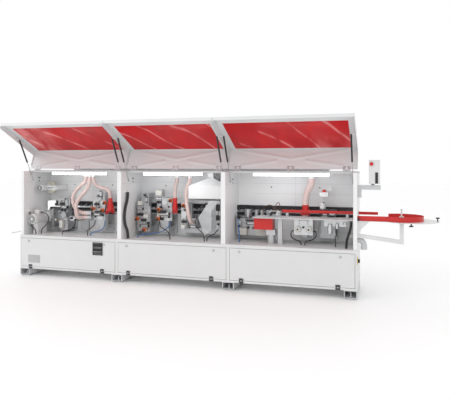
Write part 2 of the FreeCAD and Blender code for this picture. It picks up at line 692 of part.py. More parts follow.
def make_table():
    right = wall_inner_right[2]
    top = box(table_x0, right, table_y0, table_y1, table_z, table_z + table_thickness)
    leg = box(3715, 3770, 200, 260, deck_top, table_z)
    node("table_plate", fused(top, leg))
    node("table_plate", box(3580, 3722, 300, 400, table_z + table_thickness, 985))
    guard = box(3408, 3650, 180, 330, 757, table_z)
    node("red_guards", guard)
    motor = rod(V(3620, 255, deck_top), Z_AXIS, 52, 110)
    gearbox = box(3560, 3680, 205, 305, deck_top + 110, 757)
    node("edge_press_unit", fused(motor, gearbox))


pot_x = 4255.0


def make_glue_station():
    stand = box(4210, 4420, 470, unit_back, 640, 704)
    column = box(4225, 4400, 470, unit_edge, 704, 930)
    node("infeed_stands", fused(saddle(4190, 4430), stand, column))
    tank = box(4200, 4310, 432, 580, 930, 1010)
    hopper = box(4325, 4420, 432, 560, 930, 1000)
    hopper = hopper.cut(box(4329, 4416, 436, 556, 950, 1000))
    joint = box(4310, 4325, 450, 550, 940, 980)
    bore = rod(V(pot_x, 556, 990), Z_AXIS, 8 + fit, 20)
    drum = rod(V(4245, 480, 1010), Z_AXIS, 36, 80)
    post = rod(V(4262, 480, 1090), Z_AXIS, 12, 80)
    head = box(4205, 4320, 440, 520, 1170, 1230)
    beacon = cone(V(4262, 480, 1230), Z_AXIS, 26, 12, 34)
    clevis = [box(x, x + 8, 556, 566, 1000, 1014) for x in (4335, 4402)]
    pot = fused(tank, hopper, joint, drum, post, head, beacon, *clevis)
    hinge_hole = rod(V(4325, 561, 1008), X_AXIS, 2 + fit, 95)
    node("glue_pot", pot.cut(bore).cut(hinge_hole))
    lid_plate = box(4326, 4419, 432, 550, 1000.4, 1006)
    lug = box(4346, 4399, 550, 561, 1003, 1006)
    bar = rod(V(4346, 561, 1008), X_AXIS, 5, 53)
    pin = rod(V(4330, 561, 1008), X_AXIS, 2, 85)
    node("glue_pot_lid", fused(lid_plate, lug, bar, pin))
    node("glue_roller", fused(rod(V(pot_x, 556, 991), Z_AXIS, 8, 30),
                              rod(V(pot_x, 556, 1012), Z_AXIS, 22, 70)))


def make_fence():
    bar = box(3730, cabinet_length + 230, 385, 400, 965, 1000)
    toe = box(3730, cabinet_length - 100, 400, 412, 975, 990)
    node("infeed_fence", fused(bar, toe))
    for x in (3800, 4560):
        block = box(x - 15, x + 15, 372, 420, table_z + table_thickness, 960)
        stem = rod(V(x, 392, 960), Z_AXIS, 6, 4.6)
        node("table_plate", fused(block, stem))


def make_spouts():
    """Red suction mouths where the hoses end."""
    for x, y, z, mouth, drop, column_x, x1 in ((1200, 430, 915, 62, 160, 1110, 1262),
                                               (2226, 400, 956, 40, 140, 2120, 2250)):
        low, neck = V(x, y, z), V(x, y, z + drop)
        outer = cone(low, Z_AXIS, mouth, hose_radius, drop).fuse(rod(neck, Z_AXIS, hose_radius, 26))
        inner = cone(low, Z_AXIS, mouth - skin, hose_radius - skin, drop).fuse(
            rod(neck, Z_AXIS, hose_radius - skin, 26))
        node("red_guards", outer.cut(inner), box(column_x, x1, 420, 440, z - 50, z))
    hood = box(3970, 4080, 425, 520, 930, 1000)
    hood = hood.cut(box(3974, 4076, 429, 520, 934, 996))
    neck = ring(V(4025, 470, 1000), Z_AXIS, wide_hose_radius, wide_hose_radius - skin, 65)
    hole = rod(V(4025, 470, 990), Z_AXIS, wide_hose_radius - skin, 12)
    node("red_guards", fused(hood.cut(hole), neck))
    node("infeed_stands", fused(saddle(3930, 4120), box(3990, 4060, 440, unit_back, 640, 704),
                                box(3990, 4060, 440, 510, 704, 930)))


feed_rollers = ((3965.0, "feed_roller_left"), (4102.0, "feed_roller_right"))
feed_z = 773.0


def make_feed():
    block = box(3915, 4150, 240, 330, 700, table_z)
    for x, name in feed_rollers:
        block = block.cut(rod(V(x, 240, feed_z), Y_AXIS, 9 + fit, 30))
        roller = fused(rod(V(x, 205, feed_z), Y_AXIS, 37, 26),
                       rod(V(x, 231, feed_z), Y_AXIS, 9, 38))
        node(name, roller)
    node("feed_unit", block)


def make_air_service():
    rail = box(4290, 4560, 240, 262, 820, table_z)
    filter_bowl = fused(rod(V(4366, 205, 740), Z_AXIS, 30, 80), rod(V(4366, 205, 820), Z_AXIS, 24, 30),
                        box(4340, 4392, 205, 240, 822, 850))
    regulator = fused(rod(V(4450, 210, 800), Z_AXIS, 20, 60), box(4432, 4468, 205, 240, 822, 850))
    node("feed_unit", fused(rail, filter_bowl, regulator))


# ---------------------------------------------------------------- infeed end
arm_y0, arm_y1 = 80.0, 125.0
arm_low, arm_high = 1288.0, 1342.0
arm_reach = 265.0
swivel_x, swivel_gap = cabinet_length + 175, 15.0
box_x0, box_x1 = swivel_x - 44, swivel_x + 82
box_y0, box_y1, box_top = 50.0, 190.0, 1640.0
stop_x, stop_z, stop_radius = swivel_x - 14, 1592.0, 21.0


def make_controls():
    x0 = cabinet_length
    drop = box(x0, x0 + 45, arm_y0, arm_y1, 1194, arm_high)
    reach = box(x0, x0 + arm_reach, arm_y0, arm_y1, arm_low, arm_high)
    middle_y = (arm_y0 + arm_y1) / 2
    bore = rod(V(swivel_x, middle_y, arm_high - 30), Z_AXIS, 10 + fit, 30)
    node("control_arm", fused(drop, reach).cut(bore))

    bottom = arm_high + swivel_gap
    case = box(box_x0, box_x1, box_y0, box_y1, bottom, box_top)
    collar = rod(V(swivel_x, middle_y, arm_high + clearance), Z_AXIS, 18, swivel_gap - clearance)
    pin = rod(V(swivel_x, middle_y, arm_high - 29), Z_AXIS, 10, 29 + swivel_gap)
    strip = box(box_x0 + 74, box_x0 + 102, box_y0 - 4, box_y0, 1364, 1490)
    stop_bore = rod(V(stop_x, box_y0, stop_z), Y_AXIS, 8 + fit, 30)
    node("control_box", fused(case, collar, pin, strip).cut(stop_bore))
    head = rod(V(stop_x, box_y0 - 22, stop_z), Y_AXIS, stop_radius, 14)
    node("e_stop_button", fused(head, rod(V(stop_x, box_y0 - 8, stop_z), Y_AXIS, 8, 30)))

    plate = box(x0, x0 + 6, 20, 90, 410, 480)
    axis = V(x0, 55, 445)
    node("control_arm", plate.cut(rod(axis, X_AXIS, 6 + fit, 6)))
    knob = fused(rod(axis + V(6.4, 0, 0), X_AXIS, 24, 8), box(x0 + 14, x0 + 30, 50, 60, 424, 466),
                 rod(axis + V(0.5, 0, 0), X_AXIS, 6, 8))
    node("isolator_switch", knob)


tray_x, tray_y, tray_z = cabinet_length + 500, 250.0, 915.0
board_x = tray_x + 90
plate_radius, rim_radius, rim_height, disc_radius = 330.0, 250.0, 60.0, 225.0


def make_coil_table():
    x0, rim_wall = cabinet_length, 3.0
    post_x = tray_x + 20
    board = fused(rod(V(board_x, tray_y, tray_z), Z_AXIS, plate_radius, 4),
                  box(x0, board_x, 40, 460, tray_z, tray_z + 4))
    gusset = plate_y([(x0, tray_z), (x0 + 140, tray_z), (x0, 775)], 46, 50)
    brace = plate_y([(x0, 765), (post_x, 705), (post_x, 660), (x0, 720)], 60, 105)
    post = box(post_x - 45, post_x, 60, 105, 690, tray_z)
    boss = rod(V(tray_x, tray_y, tray_z - 40), Z_AXIS, 30, 40)
    frame = fused(board, gusset, brace, post, boss)
    bore = rod(V(tray_x, tray_y, tray_z - 36), Z_AXIS, 10 + fit, 40)
    node("coil_table", frame.cut(bore))
    knob_x, screw_x = tray_x + 400, tray_x + 100
    knob = fused(rod(V(knob_x, tray_y, tray_z + 4), Z_AXIS, 6, 34),
                 rod(V(knob_x, tray_y, tray_z + 38), Z_AXIS, 20, 12))
    screw = fused(rod(V(screw_x, 30, tray_z - 32), Z_AXIS, 5, 32),
                  rod(V(screw_x, 30, tray_z - 44), Z_AXIS, 22, 12))
    node("coil_table", knob, screw)

    disc = rod(V(tray_x, tray_y, tray_z + 4), Z_AXIS, rim_radius, rim_height)
    inner = rod(V(tray_x, tray_y, tray_z + 4), Z_AXIS, rim_radius - rim_wall, rim_height)
    front = box(x0, tray_x - 160, tray_y - rim_radius + 57, tray_y - rim_radius + 60,
                tray_z + 4, tray_z + 4 + rim_height)
    rim = fused(disc.cut(inner), front).cut(box(x0, tray_x - 150, tray_y - rim_radius + 60,
                                                tray_y + rim_radius, tray_z + 4,
                                                tray_z + 4 + rim_height))
    node("coil_rim", rim)
    table = fused(rod(V(tray_x, tray_y, tray_z + 4.4), Z_AXIS, disc_radius, 4),
                  rod(V(tray_x, tray_y, tray_z + 4.4), Z_AXIS, 28, 40),
                  rod(V(tray_x, tray_y, tray_z + 44), Z_AXIS, 9, 90),
                  rod(V(tray_x, tray_y, tray_z - 35), Z_AXIS, 10, 45))
    node("coil_disc", table)


def make_outfeed_rod():
    direction = V(-205, 0, -41).normalize()
    start = V(0, 60, 626)
    flange = rod(start, X_AXIS * -1, 12, 8)
    stem = rod(start, direction, 7, 206).fuse(flange)
    stem = stem.cut(box(0, 30, 0, 120, 560, 700))
    tip = Part.makeSphere(11, start + direction * 206)
    node("support_rail", fused(stem, tip))


# ---------------------------------------------------------------- hoses and cables
spigot_z = roof_bottom - spigot_drop
HOSES = {
    "hose_bay1_outer": (hose_radius, [(790, 430, spigot_z), (790, 430, 1335), (706, 418, 1268),
                                      (618, 398, 1180), (594, 382, 1060), (640, 368, 950),
                                      (740, 365, 872), (870, 365, 872)]),
    "hose_bay1_inner": (hose_radius, [(852, 430, spigot_z), (852, 430, 1325), (828, 418, 1235),
                                      (738, 372, 1120), (706, 300, 1010), (728, 268, 905),
                                      (748, 282, 812), (800, 365, 812), (870, 365, 812)]),
    "hose_bay1_right": (hose_radius, [(914, 430, spigot_z), (914, 430, 1335), (985, 430, 1265),
                                      (1085, 430, 1242), (1200, 430, 1200), (1200, 430, 1101)]),
    "hose_bay2_left": (hose_radius, [(2235, 450, spigot_z), (2235, 450, 1345), (2216, 430, 1270),
                                     (2226, 400, 1195), (2226, 400, 1122)]),
    "hose_bay2_right": (hose_radius, [(2429, 450, spigot_z), (2429, 450, 1352), (2394, 436, 1290),
                                      (2386, 420, 1190), (2402, 378, 1100), (2432, 335, 1005),
                                      (2468, 300, 900), (2490, 325, 790), (2490, 400, 790)]),
    "hose_bay3": (wide_hose_radius, [(4104, 470, spigot_z), (4104, 470, 1325), (4052, 470, 1245),
                                     (4025, 470, 1150), (4025, 470, 1065)]),
}

CABLES = {
    "cable_wall": (cable_radius, [(62, 110, 905), (62, 110, 800), (74, 108, 710), (128, 104, 664),
                                  (172, 100, 630), (172, 100, deck_top)]),
    "cable_motor": (cable_radius, [(185, 200, 885), (245, 200, 885), (308, 205, 845),
                                   (320, 200, 770), (272, 185, 690), (218, 165, 645),
                                   (218, 165, deck_top)]),
    "cable_scraper": (cable_radius, [(678, 330, 760), (678, 330, 690), (655, 270, 640),
                                     (600, 215, 632), (566, 172, 622), (566, 172, deck_top)]),
    "cable_fine_left": (cable_radius, [(960, 410, 775), (960, 410, 710), (930, 330, 655),
                                       (935, 240, 640), (985, 168, 630), (985, 168, deck_top)]),
    "cable_fine_right": (cable_radius, [(1120, 410, 775), (1120, 410, 705), (1130, 320, 645),
                                        (1088, 220, 632), (1036, 165, 626),
                                        (1036, 165, deck_top)]),
    "cable_bundle": (bundle_radius, [(1634, 140, 1211), (1634, 140, 1115), (1634, 72, 1010),
                                     (1630, 48, 890), (1634, 60, 770), (1660, 96, 672),
                                     (1660, 96, deck_top)]),
    "cable_corner": (cable_radius, [(1985, 410, 800), (1985, 410, 745), (2045, 330, 716),
                                    (2135, 260, 700), (2215, 195, 672), (2254, 156, 634),
                                    (2254, 156, deck_top)]),
    "cable_corner_blue": (cable_radius, [(2150, 410, 800), (2150, 410, 735), (2085, 325, 665),
                                         (1975, 262, 636), (1845, 230, 628), (1748, 210, 620),
                                         (1748, 210, deck_top)]),
    "cable_end_trim": (cable_radius, [(2700, 430, 1060), (2655, 430, 1060), (2602, 360, 965),
                                      (2580, 275, 870), (2600, 220, 775), (2662, 185, 715),
                                      (2735, 150, 682), (2752, 128, 632), (2752, 128, deck_top)]),
    "cable_end_small": (cable_radius, [(2850, 420, 700), (2850, 368, 700), (2846, 290, 664),
                                       (2805, 210, 644), (2772, 172, 625), (2772, 172, deck_top)]),
    "cable_press_blue": (cable_radius, [(3140, 430, 860), (3140, 375, 860), (3165, 300, 806),
                                        (3190, 236, 722), (3212, 202, 640),
                                        (3212, 202, deck_top)]),
    "cable_feed_left": (cable_radius, [(3915, 285, 750), (3884, 285, 750), (3868, 250, 700),
                                       (3898, 222, 655), (3958, 206, 636), (4010, 198, 622),
                                       (4010, 198, deck_top)]),
    "cable_feed_right": (cable_radius, [(4150, 285, 750), (4182, 285, 750), (4198, 250, 700),
                                        (4166, 222, 655), (4108, 206, 636), (4056, 198, 622),
                                        (4056, 198, deck_top)]),
    "cable_regulator": (cable_radius, [(4450, 210, 800), (4450, 210, 742), (4426, 202, 690),
                                       (4433, 190, 632), (4433, 190, deck_top)]),
    "cable_conduit": (15.0, [(4623, 150, table_z), (4623, 150, 830), (4598, 118, 750),
                             (4570, 92, 665), (4570, 92, deck_top)]),
    "cable_loop_left": (4.5, [(3460, 455, 900), (3460, 455, 970), (3500, 428, 1032),
                              (3560, 392, 1060), (3634, 354, 1045), (3634, 354, 985)]),
    "cable_loop_right": (4.5, [(3656, 352, 985), (3656, 352, 1045), (3668, 354, 1080),
                               (3688, 356, 1098), (3706, 354, 1080), (3713, 352, 1045),
                               (3713, 352, 985)]),
}


def cord(points, radius, name):
    """Round tube along straight runs joined by tangent arcs."""
    path = [V(*point) for point in points]
    runs = [(b - a).Length for a, b in zip(path, path[1:])]
    edges, start, radii = [], path[0], []
    for before, corner, after, run_a, run_b in zip(path, path[1:], path[2:], runs, runs[1:]):
        way_in, way_out = V(corner - before).normalize(), V(after - corner).normalize()
        turn = way_in.getAngle(way_out)
        setback = 0.45 * min(run_a, run_b)
        radii.append(setback / math.tan(turn / 2))
        arc_start, arc_end = corner - way_in * setback, corner + way_out * setback
        bisector = V(way_out - way_in).normalize()
        middle_offset = radii[-1] / math.cos(turn / 2) - radii[-1]
        middle = corner + bisector * middle_offset
        edges.append(Part.LineSegment(start, arc_start).toShape())
        edges.append(Part.Arc(arc_start, middle, arc_end).toShape())
        start = arc_end
    edges.append(Part.LineSegment(start, path[-1]).toShape())
    wire = Part.Wire(edges)
    section = Part.Wire(Part.makeCircle(radius, path[0], V(path[1] - path[0])))
    tube = wire.makePipeShell([section], True, True)
    expected = math.pi * radius ** 2 * wire.Length
    print("%-18s length %5.0f  radii %s  volume %.3f of section x length" % (
        name, wire.Length, " ".join("%.0f" % r for r in radii), tube.Volume / expected))
    return tube


def make_cords():
    for name, (radius, points) in HOSES.items():
        node("suction_hoses", cord(points, radius, name))
    for name, (radius, points) in CABLES.items():
        node("bay_cables", cord(points, radius, name))


# ---------------------------------------------------------------- build and export
def build():
    make_base()
    make_beams()
    make_deck()
    make_walls()
    make_back_wall()
    make_roof()
    make_lights()
    make_extraction()
    for index in range(3):
        make_hood(index)
        make_struts(index)
        make_door(index)
    make_hinge_rail()
    make_door_hinges()
    make_conveyor()
    make_pressure_beam()
    make_support_rail()
    make_buffing()
    make_scrapers()
    make_trimming()
    make_indicators()
    make_end_trim()
    make_edge_press()
    make_table()
    make_glue_station()
    make_fence()
    make_spouts()
    make_feed()
    make_air_service()
    make_controls()
    make_coil_table()
    make_outfeed_rod()
    make_cords()


cord_nodes = ("suction_hoses", "bay_cables")


def reference_point():
    """Middle of the footprint, on the floor, without the hoses and cables."""
    whole = FreeCAD.BoundBox()
    for name, solids in NODES.items():
        if name not in cord_nodes:
            for solid in solids:
                whole.add(solid.BoundBox)
    return V((whole.XMin + whole.XMax) / 2, (whole.YMin + whole.YMax) / 2, whole.ZMin)


build()
origin = reference_point()
os.makedirs("parts", exist_ok=True)
for name, solids in NODES.items():
    shape = Part.makeCompound(solids) if len(solids) > 1 else solids[0]
    shape = shape.copy()
    shape.translate(origin * -1)
    shape.exportStep("parts/%s.step" % name)
print("nodes", len(NODES), "origin", tuple(round(v, 3) for v in origin))
print("strut open %.1f closed %.1f swing %.2f" % (strut_open_length, strut_closed_length, strut_swing))
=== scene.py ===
# %% [markdown]
# # An edge banding machine, dressed for its portrait
# The machine glues a thin strip onto the edges of furniture panels and trims it flush.  It is
# a cabinet nearly five metres long: three lift-up hoods, three working bays, a welded base on
# foot beams, and a panel conveyor at the back.  The exact solids come in first as a fixed
# frame.  Everything after that is either a finish for one of those solids or a new piece that
# rides on one of the machine's bodies.

# %% Load the machine
import bpy, bmesh, math
from mathutils import Matrix, Vector


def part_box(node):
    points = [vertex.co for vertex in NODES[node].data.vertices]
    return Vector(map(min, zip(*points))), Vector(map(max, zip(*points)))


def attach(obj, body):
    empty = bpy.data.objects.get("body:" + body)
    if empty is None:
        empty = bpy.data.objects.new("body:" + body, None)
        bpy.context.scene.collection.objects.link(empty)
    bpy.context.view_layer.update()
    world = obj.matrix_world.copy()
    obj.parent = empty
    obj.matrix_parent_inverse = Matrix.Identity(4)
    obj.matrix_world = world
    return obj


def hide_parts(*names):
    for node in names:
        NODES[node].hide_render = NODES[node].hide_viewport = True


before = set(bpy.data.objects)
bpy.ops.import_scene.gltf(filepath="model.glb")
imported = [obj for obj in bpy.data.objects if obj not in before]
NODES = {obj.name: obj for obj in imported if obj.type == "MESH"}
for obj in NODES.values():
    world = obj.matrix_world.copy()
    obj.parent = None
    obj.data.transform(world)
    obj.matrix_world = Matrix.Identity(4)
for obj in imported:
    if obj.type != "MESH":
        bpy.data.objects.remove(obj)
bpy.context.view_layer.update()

# %% [markdown]
# Sizes below are in millimetres from the cabinet's left end, the front face of its posts and
# the floor, as in the source of the solids.  They are estimates in proportion, and not taken
# from a maker's drawing.  One helper turns such a measure into a point of the scene.

# %% Millimetres to scene points
walls_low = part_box("cabinet_walls")[0]


def spot(x, y, z):
    return Vector((walls_low[0] + x / 1000, walls_low[1] + y / 1000, z / 1000))


print("left end and post fronts at", tuple(round(v, 3) for v in spot(0, 0, 0)))

# %% [markdown]
# ## Camera
# A normal lens from the infeed side, level, a little above the work tables.  Keeping the camera
# level keeps the posts upright; the lens is shifted down instead of tilted.

# %% Camera
lens = bpy.data.cameras.new("camera")
camera = bpy.data.objects.new("camera", lens)
bpy.context.scene.collection.objects.link(camera)
camera.location = spot(5030, -6270, 1580)
heading = Vector((-0.2974, 0.9548, 0))
camera.rotation_euler = heading.to_track_quat("-Z", "Y").to_euler()
lens.sensor_width, lens.lens, lens.shift_y = 36, 41.5, -0.0778
lens.clip_end = 100
bpy.context.scene.camera = camera
print("camera heading", round(math.degrees(math.atan2(-heading.x, heading.y)), 1), "degrees")

# %% [markdown]
# ## Hoses and cables
# Each bay is full of things that bend: ribbed suction hoses from the roof, and cables from the
# motors down into the base.  A hose is a fixed length of something flexible, so its middle line
# is one smooth NURBS curve with a round section.  The order of the curve is raised after its
# points are there, because before that Blender keeps it at straight runs.

# %% One cord
def make_cord(name, diameter, length, points, stiffness="medium"):
    curve = bpy.data.curves.new(name, "CURVE")
    curve.dimensions = "3D"
    curve.bevel_depth, curve.bevel_resolution, curve.resolution_u = 1, 3, 10
    line = curve.splines.new("NURBS")
    line.points.add(len(points) - 1)
    for knot, point in zip(line.points, points):
        knot.co, knot.radius = (*spot(*point), 1), diameter / 2000
    line.order_u, line.use_endpoint_u = 3, True
    cord = bpy.data.objects.new(name, curve)
    bpy.context.scene.collection.objects.link(cord)
    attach(cord, "machine")
    if length > 6 * diameter / 1000:          # a shorter hose is a bend of ducting, not a cord
        tuple(spot(*points[0]))
    return cord

# %% Routes of the suction hoses: width in mm, length in m, points from end to end
HOSE_ROUTES = {
    "hose_bay1_outer": (56, 0.787, [(790, 430, 1405), (790, 430, 1335), (706, 418, 1268),
        (618, 398, 1180), (594, 382, 1060), (640, 368, 950), (740, 365, 872), (870, 365, 872)]),
    "hose_bay1_inner": (56, 0.812, [(852, 430, 1405), (852, 430, 1325), (828, 418, 1235),
        (738, 372, 1120), (706, 300, 1010), (728, 268, 905), (748, 282, 812), (800, 365, 812),
        (870, 365, 812)]),
    "hose_bay1_right": (56, 0.477, [(914, 430, 1405), (914, 430, 1335), (985, 430, 1265),
        (1085, 430, 1242), (1200, 430, 1200), (1200, 430, 1101)]),
    "hose_bay2_left": (56, 0.292, [(2235, 450, 1405), (2235, 450, 1345), (2216, 430, 1270),
        (2226, 400, 1195), (2226, 400, 1122)]),
    "hose_bay2_right": (56, 0.726, [(2429, 450, 1405), (2429, 450, 1352), (2394, 436, 1290),
        (2386, 420, 1190), (2402, 378, 1100), (2432, 335, 1005), (2468, 300, 900),
        (2490, 325, 790), (2490, 400, 790)]),
    "hose_bay3": (84, 0.356, [(4104, 470, 1405), (4104, 470, 1325), (4052, 470, 1245),
        (4025, 470, 1150), (4025, 470, 1065)]),
}

hoses = [make_cord(name, *route, "limp") for name, route in HOSE_ROUTES.items()]
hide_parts("suction_hoses")
print("hoses", len(hoses))

# %% Routes of the cables
CABLE_ROUTES = {
    "cable_wall": (13, 0.368, [(62, 110, 905), (62, 110, 800), (74, 108, 710), (128, 104, 664),
        (172, 100, 630), (172, 100, 578)]),
    "cable_motor": (13, 0.432, [(185, 200, 885), (245, 200, 885), (308, 205, 845),
        (320, 200, 770), (272, 185, 690), (218, 165, 645), (218, 165, 578)]),
    "cable_scraper": (13, 0.316, [(678, 330, 760), (678, 330, 690), (655, 270, 640),
        (600, 215, 632), (566, 172, 622), (566, 172, 578)]),
    "cable_fine_left": (13, 0.381, [(960, 410, 775), (960, 410, 710), (930, 330, 655),
        (935, 240, 640), (985, 168, 630), (985, 168, 578)]),
    "cable_fine_right": (13, 0.394, [(1120, 410, 775), (1120, 410, 705), (1130, 320, 645),
        (1088, 220, 632), (1036, 165, 626), (1036, 165, 578)]),
    "cable_bundle": (38, 0.659, [(1634, 140, 1211), (1634, 140, 1115), (1634, 72, 1010),
        (1630, 48, 890), (1634, 60, 770), (1660, 96, 672), (1660, 96, 578)]),
    "cable_corner": (13, 0.492, [(1985, 410, 800), (1985, 410, 745), (2045, 330, 716),
        (2135, 260, 700), (2215, 195, 672), (2254, 156, 634), (2254, 156, 578)]),
    "cable_corner_blue": (13, 0.583, [(2150, 410, 800), (2150, 410, 735), (2085, 325, 665),
        (1975, 262, 636), (1845, 230, 628), (1748, 210, 620), (1748, 210, 578)]),
    "cable_end_trim": (13, 0.694, [(2700, 430, 1060), (2655, 430, 1060), (2602, 360, 965),
        (2580, 275, 870), (2600, 220, 775), (2662, 185, 715), (2735, 150, 682), (2752, 128, 632),
        (2752, 128, 578)]),
    "cable_end_small": (13, 0.323, [(2850, 420, 700), (2850, 368, 700), (2846, 290, 664),
        (2805, 210, 644), (2772, 172, 625), (2772, 172, 578)]),
    "cable_press_blue": (13, 0.409, [(3140, 430, 860), (3140, 375, 860), (3165, 300, 806),
        (3190, 236, 722), (3212, 202, 640), (3212, 202, 578)]),
    "cable_feed_left": (13, 0.304, [(3915, 285, 750), (3884, 285, 750), (3868, 250, 700),
        (3898, 222, 655), (3958, 206, 636), (4010, 198, 622), (4010, 198, 578)]),
    "cable_feed_right": (13, 0.304, [(4150, 285, 750), (4182, 285, 750), (4198, 250, 700),
        (4166, 222, 655), (4108, 206, 636), (4056, 198, 622), (4056, 198, 578)]),
    "cable_regulator": (13, 0.227, [(4450, 210, 800), (4450, 210, 742), (4426, 202, 690),
        (4433, 190, 632), (4433, 190, 578)]),
    "cable_conduit": (30, 0.342, [(4623, 150, 905), (4623, 150, 830), (4598, 118, 750),
        (4570, 92, 665), (4570, 92, 578)]),
    "cable_loop_left": (9, 0.354, [(3460, 455, 900), (3460, 455, 970), (3500, 428, 1032),
        (3560, 392, 1060), (3634, 354, 1045), (3634, 354, 985)]),
    "cable_loop_right": (9, 0.239, [(3656, 352, 985), (3656, 352, 1045), (3668, 354, 1080),
        (3688, 356, 1098), (3706, 354, 1080), (3713, 352, 1045), (3713, 352, 985)]),
}

cables = [make_cord(name, *route) for name, route in CABLE_ROUTES.items()]
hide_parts("bay_cables")
print("cables", len(cables))

# %% [markdown]
# ## Making a piece
# Every new piece is a mesh that rides on one of the machine's bodies and carries one finish.
# The floor is made the same way, but rides on nothing.

# %% New piece
def new_piece(name, mesh_builder, body, finish):
    mesh = bpy.data.meshes.new(name)
    mesh_builder.to_mesh(mesh)
    mesh_builder.free()
    piece = bpy.data.objects.new(name, mesh)
    bpy.context.scene.collection.objects.link(piece)
    mesh.materials.append(finish)
    if body:
        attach(piece, body)
    return piece


# %% [markdown]
# ## A small language for finishes
# A finish is a graph of nodes.  Wrapping a socket in a class that knows + - * / lets the graph
# be written as sums, and one method makes every other node.

# %% Sockets that do sums
class Wire:
    def __init__(self, finish, socket):
        self.finish, self.socket = finish, socket

    def sum(self, operation, *others):
        values = dict(enumerate((self,) + others))
        return self.finish.node("ShaderNodeMath", {"operation": operation}, values)

    def __add__(self, other): return self.sum("ADD", other)
    def __mul__(self, other): return self.sum("MULTIPLY", other)
    def __sub__(self, other): return self.sum("SUBTRACT", other)
    def __truediv__(self, other): return self.sum("DIVIDE", other)
    def __rsub__(self, other): return self * -1 + other
    __radd__, __rmul__ = __add__, __mul__

    def wave(self): return self.sum("SINE")
    def size(self): return self.sum("ABSOLUTE")
    def over(self, limit): return self.sum("GREATER_THAN", limit)
    def under(self, limit): return self.sum("LESS_THAN", limit)
    def part(self): return self.sum("FRACT")
    def held(self): return self.finish.node("ShaderNodeClamp", {}, {0: self})


class Finish:
    def __init__(self, name, colour=(0.8, 0.8, 0.8), roughness=0.5, **sockets):
        self.material = bpy.data.materials.new(name)
        self.material.use_nodes = True
        self.tree = self.material.node_tree
        self.shader = self.tree.nodes["Principled BSDF"]
        self.feed(Base_Color=(*colour, 1), Roughness=roughness, **sockets)

    def node(self, kind, settings, sockets, output=0):
        made = self.tree.nodes.new(kind)
        stops = settings.pop("stops", None)
        for key, value in settings.items():
            setattr(made, key, value)
        if stops:
            ramp = made.color_ramp.elements
            for place, stop in enumerate(stops):
                point = ramp[place] if place < 2 else ramp.new(stop[0])
                point.position, point.color = stop[0], (*stop[1], 1)
        for key, value in sockets.items():
            self.join(made.inputs[key], value)
        return Wire(self, made.outputs[output])

    def join(self, socket, value):
        if isinstance(value, Wire):
            self.tree.links.new(value.socket, socket)
        else:
            socket.default_value = value

    def feed(self, **sockets):
        for key, value in sockets.items():
            self.join(self.shader.inputs[key.replace("_", " ")], value)
        return self

    def place(self, stretch=(1, 1, 1), kind="Object"):
        coordinates = self.node("ShaderNodeTexCoord", {}, {}, kind)
        return self.node("ShaderNodeMapping", {}, {"Vector": coordinates, "Scale": stretch})

    def xyz(self, kind="Object"):
        where = self.node("ShaderNodeTexCoord", {}, {}, kind)
        return [self.node("ShaderNodeSeparateXYZ", {}, {0: where}, axis) for axis in range(3)]

    def noise(self, scale, detail=3, stretch=(1, 1, 1)):
        return self.node("ShaderNodeTexNoise", {}, {"Vector": self.place(stretch),
                                                    "Scale": scale, "Detail": detail})

    def blend(self, share, first, second):
        paint = [value if isinstance(value, Wire) else (*value, 1) for value in (first, second)]
        return self.node("ShaderNodeMix", {"data_type": "RGBA"},
                         {0: share, 6: paint[0], 7: paint[1]}, 2)

    def bump(self, height, strength, distance=0.001):
        return self.feed(Normal=self.node("ShaderNodeBump", {}, {
            "Strength": strength, "Distance": distance, "Height": height}))


print("finish language ready")

# %% [markdown]
# ## Floor and light
# A white studio: a pale floor that runs out of sight, a bright even surround, one large
# soft lamp high on the left, and a weaker one in front that opens up the bays.

# %% Floor and light
floor_paint = Finish("studio_floor", (0.93, 0.93, 0.93), 0.55)
floor_paint.feed(Base_Color=floor_paint.blend(floor_paint.noise(0.6), (0.985, 0.985, 0.985),
                                              (1.0, 1.0, 1.0)))
floor_mesh = bmesh.new()
bmesh.ops.create_grid(floor_mesh, x_segments=4, y_segments=4, size=40)
floor = new_piece("studio_floor", floor_mesh, None, floor_paint.material)

world = bpy.data.worlds.new("studio")
bpy.context.scene.world = world
world.use_nodes = True
world.node_tree.nodes["Background"].inputs["Color"].default_value = (1, 1, 1, 1)
world.node_tree.nodes["Background"].inputs["Strength"].default_value = 1.0

bpy.context.scene.view_settings.view_transform = "Standard"


def soft_lamp(name, place, aim, width, power):
    lamp = bpy.data.lights.new(name, "AREA")
    lamp.energy, lamp.size, lamp.shape, lamp.size_y = power, width, "RECTANGLE", width * 0.6
    light = bpy.data.objects.new(name, lamp)
    bpy.context.scene.collection.objects.link(light)
    light.location = place
    light.rotation_euler = (Vector(aim) - Vector(place)).to_track_quat("-Z", "Y").to_euler()
    return light


soft_lamp("key_lamp", (-4.5, -5.5, 6.5), (0, 0, 1), 5, 90)
soft_lamp("front_lamp", (2.5, -7.0, 3.0), (0, 0, 1), 4, 15)
print("floor and two lamps")

# %% [markdown]
# ## Painted steel
# Most of the machine is folded sheet with a powder coat.  Powder coat is never quite flat: it
# has a fine orange-peel skin, a slightly uneven gloss, and collects a little dust.  The same
# recipe serves every colour, so it is a function of the colour.

# %% Powder coat
def powder_coat(name, colour, roughness=0.38, dust=0.05):
    coat = Finish(name, colour, roughness)
    cloud, skin = coat.noise(2.2, 4), coat.noise(420, 2)
    darker = tuple(channel * (1 - dust * 2) for channel in colour)
    coat.feed(Base_Color=coat.blend(cloud, darker, colour),
              Roughness=cloud * 0.14 + (roughness - 0.07))
    return coat.bump(skin, 0.12, 0.0004)


